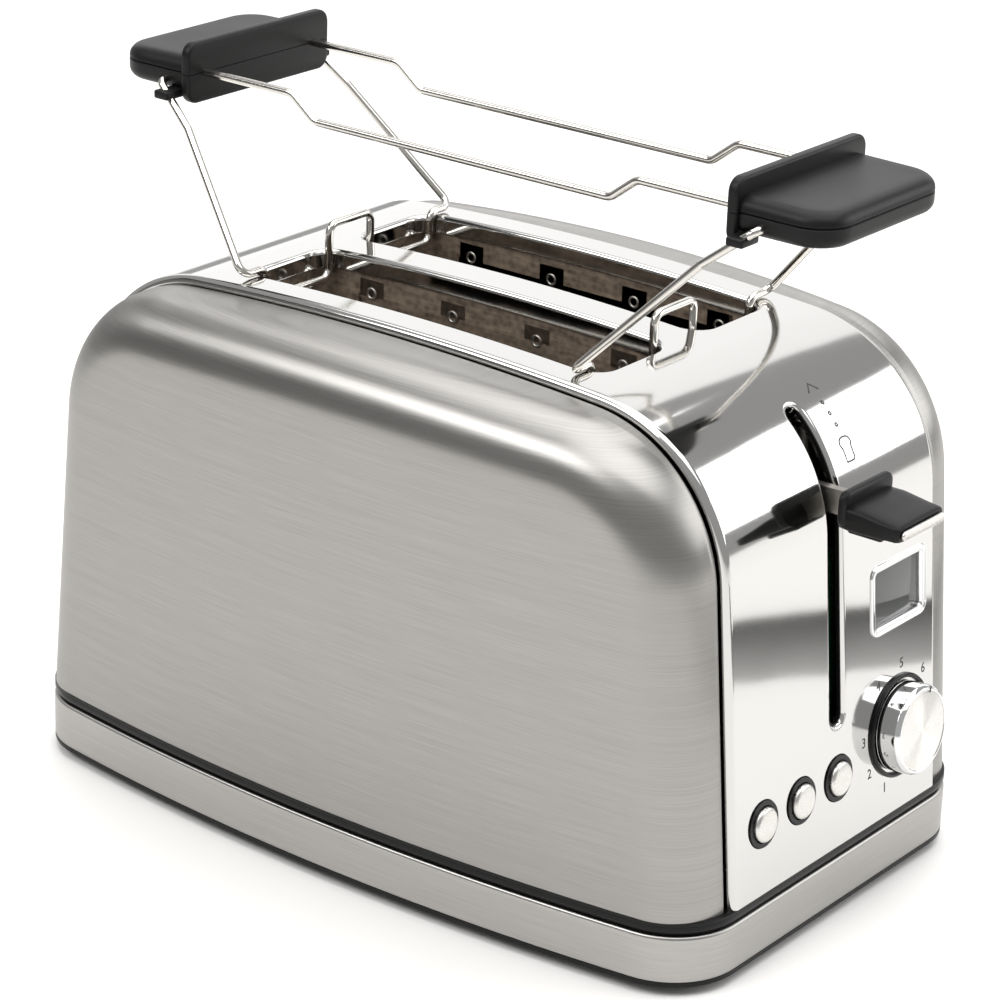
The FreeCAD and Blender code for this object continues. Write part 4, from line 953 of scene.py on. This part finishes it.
def window_bezel():
    """Bright frame pressed round the timer window: a raised rounded rim, then a step down to the
    glass."""
    place = end_face(WINDOW_UP, WINDOW_Y)
    profile = [(1.75, -0.02), (1.7, 0.45), (1.25, 0.75), (0.8, 0.55), (0.55, 0.35), (0.1, 0.45),
               (-0.55, 0.35),
               (-1.05, -0.2), (-1.2, -0.8), (-1.2, -2.2)]
    skin = Skin()
    rows = []
    outline = rounded_rectangle(WINDOW_HALF_Y - 0.3, WINDOW_HALF_UP - 0.3, 2.2, 8)
    for out, height in soften(profile, 0.4, 3):
        rows.append(skin.row(place @ Vector((u + nu * out, v + nv * out, height)) for u, v, nu,
                             nv in outline))
    for row, after in zip(rows, rows[1:]):
        skin.between(row, after, closed=True)
    publish("window_bezel", skin, CHROME, nodes=["display_bezel"], sharp=50)
    pane = rounded_rectangle(WINDOW_HALF_Y - 1.3, WINDOW_HALF_UP - 1.3, 1.2, 5)
    publish("window_pane", plate(pane, 0.9, 0.15, end_face(WINDOW_UP, WINDOW_Y, -2.4)), WINDOW,
            nodes=["display_window"])
    publish("display_cell", plate(pane, 1.2, 0.1, end_face(WINDOW_UP, WINDOW_Y, -5.2)), DISPLAY)


def superellipse(x, half, low, top, power=5.0, steps=40):
    """Ring of a soft-cornered section at a place along X."""
    middle, rise = (low + top) / 2, (top - low) / 2
    ring = []
    for i in range(steps):
        a = 2 * math.pi * i / steps
        c, s = math.cos(a), math.sin(a)
        ring.append((x, half * math.copysign(abs(c) ** (2 / power), c),
                     middle + rise * math.copysign(abs(s) ** (2 / power), s)))
    return ring


def make_lever():
    low, high = span("lever_grip")
    back, front, wide, mid = low.x, high.x, high.y, low.z + 6.0
    skin = Skin()
    stations = [(back + 0.2, 12.4, -3.6, 4.5), (back + 3.0, 12.9, -3.7, 4.7), (back + 8.0, 13.1, -3.6, 4.6),
                (back + 12.0, 13.1, -3.4, 3.9), (back + 17.0, 12.9, -3.1, 3.2),
                (front - 1.4, 12.8, -2.95, 2.9),
                (front - 0.5, 12.5, -2.7, 2.65), (front - 0.05, 12.0, -2.4, 2.3)]
    loft([superellipse(x, half, mid + a, mid + b, 6.0) for x, half, a, b in stations], skin)
    publish("lever_slab", skin, BLACK_ABS, "carriage", ["lever_grip"], outward=True)
    fin = rounded_rectangle(wide, 5.9, 3.0, 8, (0, mid + 3.0))
    publish("lever_fin", plate(fin, 3.2, 1.3, facing((back, 0, 0), (1, 0, 0), (0, 1, 0))), BLACK_ABS,
            "carriage", outward=True)
    claw = Skin()
    box_skin((back + 0.4, -8, low.z), (back + 13, 8, mid - 2.0), 1.2, claw)
    publish("lever_claw", claw, BLACK_ABS, "carriage", outward=True)
    _, tip = span("lever_insert")
    badge = rounded_rectangle(11.6, 1.5, 1.5, 8, (0, mid - 0.15))
    publish("lever_badge", plate(badge, 1.1, 0.35, facing((tip.x - 0.75, 0, 0), (1, 0, 0), (0, 1, 0))),
            BUTTON_METAL,
            "carriage", ["lever_insert"], outward=True)


# ---------------------------------------------------------------- rack

def nodes_group(name, inputs):
    """Empty geometry tree with a geometry output and named inputs."""
    tree = bpy.data.node_groups.new(name, "GeometryNodeTree")
    tree.interface.new_socket("Geometry", in_out="INPUT", socket_type="NodeSocketGeometry")
    for label, kind in inputs:
        tree.interface.new_socket(label, in_out="INPUT", socket_type=f"NodeSocket{kind}")
    tree.interface.new_socket("Geometry", in_out="OUTPUT", socket_type="NodeSocketGeometry")
    given = add_node(tree, "NodeGroupInput")
    return tree, given.outputs


def close_tree(tree, geometry, material):
    real = add_node(tree, "GeometryNodeRealizeInstances", {"Geometry": geometry})
    smooth = add_node(tree, "GeometryNodeSetShadeSmooth", {"Geometry": real.outputs["Geometry"]})
    painted = add_node(tree, "GeometryNodeSetMaterial",
                       {"Geometry": smooth.outputs["Geometry"], "Material": material})
    add_node(tree, "NodeGroupOutput", {"Geometry": painted.outputs["Geometry"]})
    return tree


def run_tree(name, tree, data, values):
    """Runs a geometry tree on some data and returns the result as a plain mesh object."""
    holder = bpy.data.objects.new(name, data)
    bpy.context.scene.collection.objects.link(holder)
    modifier = holder.modifiers.new("shape", "NODES")
    modifier.node_group = tree
    for socket in tree.interface.items_tree:
        if socket.in_out == "INPUT" and socket.name in values:
            modifier[socket.identifier] = values[socket.name]
    graph = bpy.context.evaluated_depsgraph_get()
    mesh = bpy.data.meshes.new_from_object(holder.evaluated_get(graph))
    bpy.data.objects.remove(holder)
    return bpy.data.objects.new(name, mesh)


def wire_tree():
    """Round wire along a path, with every corner bent to one radius."""
    tree, given = nodes_group("bent_wire", [("Wire radius", "Float"), ("Bend radius", "Float"),
                                            ("Material", "Material")])
    bends = add_node(tree, "GeometryNodeFilletCurve",
                     {"Curve": given["Geometry"], "Count": 8, "Radius": given["Bend radius"]}, mode="POLY")
    section = add_node(tree, "GeometryNodeCurvePrimitiveCircle",
                       {"Resolution": 20, "Radius": given["Wire radius"]})
    swept = add_node(tree, "GeometryNodeCurveToMesh",
                     {"Curve": bends.outputs["Curve"], "Profile Curve": section.outputs["Curve"],
                      "Fill Caps": True})
    return close_tree(tree, swept.outputs["Mesh"], given["Material"])


WIRE_TREE = wire_tree()


def wire_path(name, points):
    """Straight runs between points, as a curve in metres."""
    curve = bpy.data.curves.new(name, "CURVE")
    curve.dimensions = "3D"
    path = curve.splines.new("POLY")
    path.points.add(len(points) - 1)
    for place, point in zip(path.points, points):
        place.co = (*[c * 0.001 for c in point], 1)
    return curve


def wire(name, points, radius, bend, material, body, nodes=()):
    made = run_tree(name, WIRE_TREE, wire_path(name, points),
                    {"Wire radius": radius / 1000, "Bend radius": bend / 1000, "Material": material})
    return hang(made, None, body, nodes)


def make_spring():
    """Coil that stretches between the shelf and the carriage."""
    low, high = span("return_spring")
    middle, turns, steps, coil = (low + high) / 2, SPRING_TURNS, 12, SPRING_COIL
    path = []
    for i in range(turns * steps + 1):
        a = 2 * math.pi * i / steps
        path.append((middle.x + coil * math.cos(a), middle.y + coil * math.sin(a),
                     low.z + SPRING_WIRE + (high.z - low.z - 2 * SPRING_WIRE) * i / (turns * steps)))
    curve = wire_path("return_coil", path)
    made = run_tree("return_coil", WIRE_TREE, curve,
                    {"Wire radius": SPRING_WIRE / 1000, "Bend radius": 0.0001, "Material": WIRE_CHROME})
    bpy.context.scene.collection.objects.link(made)
    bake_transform(made)
    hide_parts("return_spring")


def crown_height(x):
    return CROWN_TOP - CROWN_ARC + math.sqrt(CROWN_ARC ** 2 - x ** 2)


def make_rack():
    grip_low, _ = span("rack_handle_front_upper")
    up, inner = grip_low.z, grip_low.x
    reach, dip = inner + 15.0, up - RAIL_DIP
    for label, side in (("near", -1), ("far", 1)):
        y = RAIL_Y * side
        half = [(reach, up), (68.0, up), (58.4, dip)]
        path = [(-x, y, z) for x, z in half] + [(x, y, z) for x, z in reversed(half)]
        wire(f"rack_rail_{label}", path, WIRE, RAIL_BEND, WIRE_CHROME, "rack", [f"rack_wire_{label}"])
    rest = crown_height(LEG_X) + WIRE + 0.3
    edge = BRIDGE / 2 + SLOT_WIDTH
    drop_y, over_y = edge - WIRE - 1.6, BRIDGE / 2 + WIRE + 1.4
    half = [(117, 9, 229.8), (117, 36, 229.8), (101, 39.6, 217), (LEG_X, 53, rest), (LEG_X, drop_y, rest),
            (LEG_X, drop_y, LEG_DROP), (LEG_X, over_y, LEG_DROP), (LEG_X, over_y, LEG_RISE)]
    for label, sign in (("front", 1), ("back", -1)):
        path = [(x * sign, y, z) for x, y, z in half] + [(x * sign, -y, z) for x, y, z in reversed(half)]
        wire(f"rack_leg_{label}", path, WIRE, LEG_BEND, WIRE_CHROME, "rack", [f"rack_legs_{label}"])
    for label, sign in (("front", 1), ("back", -1)):
        make_handle(label, sign)


def slab_ring(inset, start, end, half, corner, sign, z, steps=10):
    """Open U in plan from one side of the flange round the slab's outer end, its corners rounded."""
    radius = max(corner - inset, 0.4)
    side, tip = half - inset, end - inset
    ring = [(start + (tip - radius - start) * i / 6, -side) for i in range(6)]
    ring += arc_points((tip - radius, radius - side), radius, -90, 0, steps)
    ring += [(tip, (radius - side) * (1 - i / 4)) for i in range(1, 4)]
    full = ring + [(tip, 0.0)] + [(x, -y) for x, y in reversed(ring)]
    return [(x * sign, y, z) for x, y in full]


def make_handle(label, sign):
    low, _ = span(f"rack_handle_{label}_lower")
    _, high = span(f"rack_handle_{label}_upper")
    reach = max(abs(low.x), abs(high.x))
    inner = min(abs(low.x), abs(high.x))
    fin_out, slab_top, slab_low = inner + FLANGE_WALL, high.z - 5.3, low.z + 3.5
    for level, part, sense in ((slab_top, "upper", 1), (slab_low, "lower", -1)):
        skin = Skin()
        start_z = SHELL_SPLIT + 0.12 * sense
        rise = abs(level - start_z)
        soft = 4.6 if sense > 0 else 3.4
        rings = [slab_ring(0.35, fin_out - 1, reach, SHELL_HALF, SHELL_CORNER, sign, start_z),
                 slab_ring(0.0, fin_out - 1, reach, SHELL_HALF, SHELL_CORNER, sign, start_z + 0.35 * sense)]
        straight = max(rise - soft, 0.5)
        for i in range(8):
            a = math.pi / 2 * i / 7
            rings.append(slab_ring(soft * (1 - math.cos(a)), fin_out - 1, reach, SHELL_HALF,
                                   SHELL_CORNER, sign,
                                   start_z + sense * (straight + (rise - straight) * math.sin(a))))
        for extra in (7.0, 10.0, 13.0):
            rings.append(slab_ring(extra, fin_out - 1, reach, SHELL_HALF, SHELL_CORNER, sign, level))
        if sense > 0:
            rings = [[(x, y, z - 0.02 * max(abs(x) - fin_out, 0) * (z - start_z) / rise) for x, y,
                      z in ring]
                     for ring in rings]
        close_rows(skin, rings, 8, square_tip=True)
        cap = [skin.add(p) for p in rings[0]]
        skin.face(*cap)
        publish(f"rack_grip_{label}_{part}", skin, BLACK_ABS, "rack", [f"rack_handle_{label}_{part}"],
                sharp=38, outward=True)
    for part, z0, z1 in (("upper", SHELL_SPLIT + 0.12, high.z), ("lower", low.z, SHELL_SPLIT - 0.12)):
        middle, tall = (z0 + z1) / 2, (z1 - z0) / 2
        sense = 1 if part == "upper" else -1
        outline = []
        for u, v, nu, nv in rounded_rectangle(FLANGE_HALF, tall, FLANGE_CORNER, 8):
            if v * sense < 0 and abs(nu) > 1e-6 and abs(nv) > 1e-6:
                continue
            outline.append((u, v, nu, nv))
        outline = square_off(outline, FLANGE_HALF, -tall * sense)
        place = facing((inner * sign, 0, middle), (sign, 0, 0), (0, sign, 0))
        publish(f"rack_flange_{label}_{part}", plate(outline, FLANGE_WALL, 0.9, place), BLACK_ABS, "rack",
                outward=True)
    for side in (-1, 1):
        clip = Skin()
        y0, y1 = sorted((side * 31.5, side * 40.5))
        x0, x1 = sorted((sign * (fin_out + 0.5), sign * (fin_out + 6.5)))
        box_skin((x0, y0, slab_low - 1.6), (x1, y1, slab_low + 1.2), 0.7, clip)
        publish(f"rack_clip_{label}_{'near' if side < 0 else 'far'}", clip, BLACK_ABS, "rack",
                outward=True)


def square_off(outline, half_u, v):
    """Gives a plate outline two square corners on one side."""
    kept = [p for p in outline if abs(p[1] - v) >= FLANGE_CORNER - 0.1]
    kept += [(half_u, v, 1, 0), (-half_u, v, -1, 0)]
    kept.sort(key=lambda p: math.atan2(p[1], p[0]))
    return kept


# ---------------------------------------------------------------- inside

def box_tree():
    """Straight row of small blocks, such as the turns of a heating ribbon."""
    tree, given = nodes_group("block_row", [("Count", "Int"), ("First", "Vector"), ("Step", "Vector"),
                                            ("Size", "Vector"), ("Lean", "Vector"),
                                            ("Material", "Material")])
    line = add_node(tree, "GeometryNodeMeshLine",
                    {"Count": given["Count"], "Start Location": given["First"], "Offset": given["Step"]})
    block = add_node(tree, "GeometryNodeMeshCube", {"Size": given["Size"]})
    turn = add_node(tree, "FunctionNodeEulerToRotation", {"Euler": given["Lean"]})
    placed = add_node(tree, "GeometryNodeInstanceOnPoints",
                      {"Points": line.outputs["Mesh"], "Instance": block.outputs["Mesh"],
                       "Rotation": turn.outputs["Rotation"]})
    both = add_node(tree, "GeometryNodeJoinGeometry")
    tree.links.new(placed.outputs["Instances"], both.inputs["Geometry"])
    tree.links.new(given["Geometry"], both.inputs["Geometry"])
    real = add_node(tree, "GeometryNodeRealizeInstances", {"Geometry": both.outputs["Geometry"]})
    painted = add_node(tree, "GeometryNodeSetMaterial",
                       {"Geometry": real.outputs["Geometry"], "Material": given["Material"]})
    add_node(tree, "NodeGroupOutput", {"Geometry": painted.outputs["Geometry"]})
    return tree


BLOCK_ROW = box_tree()


def eyelet_tree():
    """Row of rolled eyelets, standing on a wall."""
    tree, given = nodes_group("eyelet_row", [("Count", "Int"), ("First", "Vector"), ("Step", "Vector"),
                                             ("Radius", "Float"), ("Lip", "Float"), ("Turn", "Vector"),
                                             ("Material", "Material")])
    line = add_node(tree, "GeometryNodeMeshLine",
                    {"Count": given["Count"], "Start Location": given["First"], "Offset": given["Step"]})
    ring = add_node(tree, "GeometryNodeCurvePrimitiveCircle", {"Resolution": 20, "Radius": given["Radius"]})
    lip = add_node(tree, "GeometryNodeCurvePrimitiveCircle", {"Resolution": 8, "Radius": given["Lip"]})
    eyelet = add_node(tree, "GeometryNodeCurveToMesh",
                      {"Curve": ring.outputs["Curve"], "Profile Curve": lip.outputs["Curve"]})
    turn = add_node(tree, "FunctionNodeEulerToRotation", {"Euler": given["Turn"]})
    placed = add_node(tree, "GeometryNodeInstanceOnPoints",
                      {"Points": line.outputs["Mesh"], "Instance": eyelet.outputs["Mesh"],
                       "Rotation": turn.outputs["Rotation"]})
    return close_tree(tree, placed.outputs["Instances"], given["Material"])


EYELET_ROW = eyelet_tree()


def metres(*lengths):
    return [length * 0.001 for length in lengths]


def make_throats():
    """Mica lining that hangs round each slot, from under the wrap's turned edge down past the
    boards' tops."""
    for label, side in (("near", -1), ("far", 1)):
        skin = Skin()
        outline = even(rounded_rectangle(SLOT_LENGTH / 2 + THROAT_GAP, SLOT_WIDTH / 2 + THROAT_GAP,
                                         SLOT_CORNER, 5, (0, SLOT_Y * side)), 8.0)
        rows = [skin.row((x, y, crown_height(x) - depth) for x, y, _, _ in outline)
                for depth in (3.5, 14, 26, 38)]
        for row, after in zip(rows, rows[1:]):
            skin.between(row, after, closed=True)
        skin.thicken(-0.4)
        publish(f"slot_lining_{label}", skin, MICA, outward=True)


def make_inside():
    make_throats()
    empty = bpy.data.meshes.new("nothing")
    for i, name in enumerate(("near_outer", "near_inner", "far_inner", "far_outer")):
        low, high = span(f"heater_{name}")
        inward = 1 if name in ("near_outer", "far_inner") else -1
        face = high.y if inward > 0 else low.y
        made = run_tree(f"ribbon_{name}", BLOCK_ROW, empty.copy(), {
            "Count": 22, "First": metres(0, face + 0.12 * inward, low.z + 9), "Step": metres(0, 0, 5.2),
            "Size": metres(128, 0.16, 1.1), "Lean": (0.0, 0.012 * (-1) ** i, 0.0), "Material": NICHROME})
        hang(made, None)
        wall = (SLOT_Y + (SLOT_WIDTH / 2 + THROAT_GAP - 0.2) * (1 if "outer" in name else -1))
        wall *= -1 if "near" in name else 1
        plates = run_tree(f"throat_plates_{name}", BLOCK_ROW, empty.copy(), {
            "Count": 4, "First": metres(-50, wall, EYELET_Z), "Step": metres(EYELET_STEP, 0, 0),
            "Size": metres(10.0, 0.4, 9.0), "Lean": (0.0, 0.0, 0.0), "Material": BROWNED})
        hang(plates, None)
        eyelets = run_tree(f"throat_eyelets_{name}", EYELET_ROW, empty.copy(), {
            "Count": 4, "First": metres(-50, wall + 0.3 * inward, EYELET_Z), "Step": metres(EYELET_STEP,
                                                                                            0, 0),
            "Radius": 0.0017, "Lip": 0.0005, "Turn": (math.pi / 2, 0.0, 0.0), "Material": ZINC})
        hang(eyelets, None)
    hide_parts("heater_ribbons")
    for node, material in {
            "chassis_plate_front": ZINC, "chassis_plate_back": ZINC, "carriage_bracket": ZINC,
                           "lifter_near": ZINC,
            "lifter_far": ZINC, "lever_arm": ZINC, "guide_rods": CHROME, "magnet_yoke": ZINC,
                           "armature": ZINC,
            "dial_shaft": ZINC, "crumb_tray": ZINC, "reflector_near": BROWNED, "reflector_far": BROWNED,
            "heater_near_outer": MICA, "heater_near_inner": MICA, "heater_far_inner": MICA,
                           "heater_far_outer": MICA,
            "magnet_coil": COPPER, "control_board": LAMINATE, "timer_display": BLACK_ABS,
            "button_switches": BLACK_ABS, "dial_pot": BLACK_ABS, "track_liner": BLACK_ABS,
                           "base_screws": CHROME,
            "guide_near_outer": WIRE_CHROME, "guide_near_inner": WIRE_CHROME,
                           "guide_far_inner": WIRE_CHROME,
            "guide_far_outer": WIRE_CHROME, "base_tub": BLACK_ABS, "base_deck": BLACK_ABS,
            "cord_entry": BLACK_ABS, "crumb_tray_pull": BLACK_ABS, "button_rims": GLOSS_ABS}.items():
        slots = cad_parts[node].data.materials
        slots.clear()
        slots.append(material)


# ---------------------------------------------------------------- stage

def make_stage():
    floor_material, tree, place = start_material("pale_floor")
    speck = add_node(tree, "ShaderNodeTexNoise", {"Vector": place, "Scale": per_mm(400), "Detail": 2.0})
    tone = add_node(tree, "ShaderNodeValToRGB", {"Fac": speck.outputs["Fac"]})
    low, high = tone.color_ramp.elements
    low.color, high.color = linear("#f1f0ee"), linear("#f5f4f2")
    close_material(tree, base_color=tone.outputs["Color"], roughness=0.6, ior=1.45)
    mesh = bpy.data.meshes.new("floor")
    mesh.from_pydata([(-4, -4, 0), (4, -4, 0), (4, 4, 0), (-4, 4, 0)], [], [(0, 1, 2, 3)])
    mesh.materials.append(floor_material)
    floor = bpy.data.objects.new("floor", mesh)
    bpy.context.scene.collection.objects.link(floor)

    world = bpy.data.worlds.new("studio")
    world.use_nodes = True
    world.node_tree.nodes["Background"].inputs["Color"].default_value = linear("#f4f4f4")
    world.node_tree.nodes["Background"].inputs["Strength"].default_value = 0.50
    bpy.context.scene.world = world
    bpy.context.scene.view_settings.view_transform = "Standard"

    softbox("overhead", (0.1, 0.1, 1.4), (0, 0, 0.1), (2.0, 1.6), 26)
    softbox("back", (-1.0, 1.5, 0.9), (0, 0, 0.1), (2.4, 1.2), 9)
    softbox("front_high", (-0.5, -1.2, 1.3), (0, 0, 0.1), (1.3, 0.5), 13)
    softbox("right", (1.2, 1.3, 0.75), (0, 0, 0.1), (1.6, 0.9), 13)
    card("low_dark_card", (0.296, 0.180, 0.0), (0.62, 0.74), 0.9, 0.025, 0.5, 0.02)
    card("left_dark_card", (-0.95, -0.85, 0.0), (-0.75, -0.66), 0.9, 0.9, 0.2, 0.02)


def softbox(name, spot, target, size, watts):
    light = bpy.data.lights.new(name, "AREA")
    light.shape, light.size, light.size_y, light.energy = "RECTANGLE", *size, watts
    lamp = bpy.data.objects.new(name, light)
    lamp.location = spot
    lamp.rotation_mode = "QUATERNION"
    lamp.rotation_quaternion = (Vector(target) - Vector(spot)).to_track_quat("-Z", "Y")
    bpy.context.scene.collection.objects.link(lamp)


def card(name, foot, away, width, height, foot_shade, top_shade):
    """Dark card that stands on the floor and is seen only in the polished metal."""
    material, tree, place = start_material(name)
    split = add_node(tree, "ShaderNodeSeparateXYZ", {"Vector": place})
    tone = add_node(tree, "ShaderNodeMapRange",
                    {"Value": split.outputs["Z"], "From Max": height, "To Min": foot_shade,
                     "To Max": top_shade})
    close_material(tree, base_color=tone.outputs["Result"], roughness=0.9)
    across = Vector((-away[1], away[0], 0)).normalized() * width / 2
    foot, rise = Vector(foot), Vector((0, 0, height))
    mesh = bpy.data.meshes.new(name)
    mesh.from_pydata([foot - across, foot + across, foot + across + rise, foot - across + rise], [],
                     [(0, 1, 2, 3)])
    mesh.materials.append(material)
    made = bpy.data.objects.new(name, mesh)
    bpy.context.scene.collection.objects.link(made)
    made.visible_camera = made.visible_shadow = made.visible_diffuse = False


def make_camera():
    """Long lens a metre away, looking down on the near corner of the control end."""
    yaw, pitch, roll = 0.6515, -0.3835, 0.0340
    forward = Vector((-math.sin(yaw) * math.cos(pitch), math.cos(yaw) * math.cos(pitch), math.sin(pitch)))
    right = forward.cross(Vector((0, 0, 1))).normalized()
    up = right.cross(forward)
    across = right * math.cos(roll) + up * math.sin(roll)
    rise = up * math.cos(roll) - right * math.sin(roll)
    data = bpy.data.cameras.new("camera")
    data.sensor_width, data.lens = 36.0, 125.74
    data.clip_start, data.clip_end = 0.05, 30.0
    camera = bpy.data.objects.new("camera", data)
    turn = Matrix((across, rise, -forward)).transposed()
    camera.matrix_world = Matrix.Translation((0.64299, -0.84256, 0.53143)) @ turn.to_4x4()
    bpy.context.scene.collection.objects.link(camera)
    bpy.context.scene.camera = camera


make_camera()
make_wrap()
make_side_panel("side_panel_near", -1)
make_side_panel("side_panel_far", 1)
make_base()
make_feet()
make_dial()
make_buttons()
make_marks()
window_bezel()
make_lever()
make_rack()
make_spring()
make_inside()
make_stage()
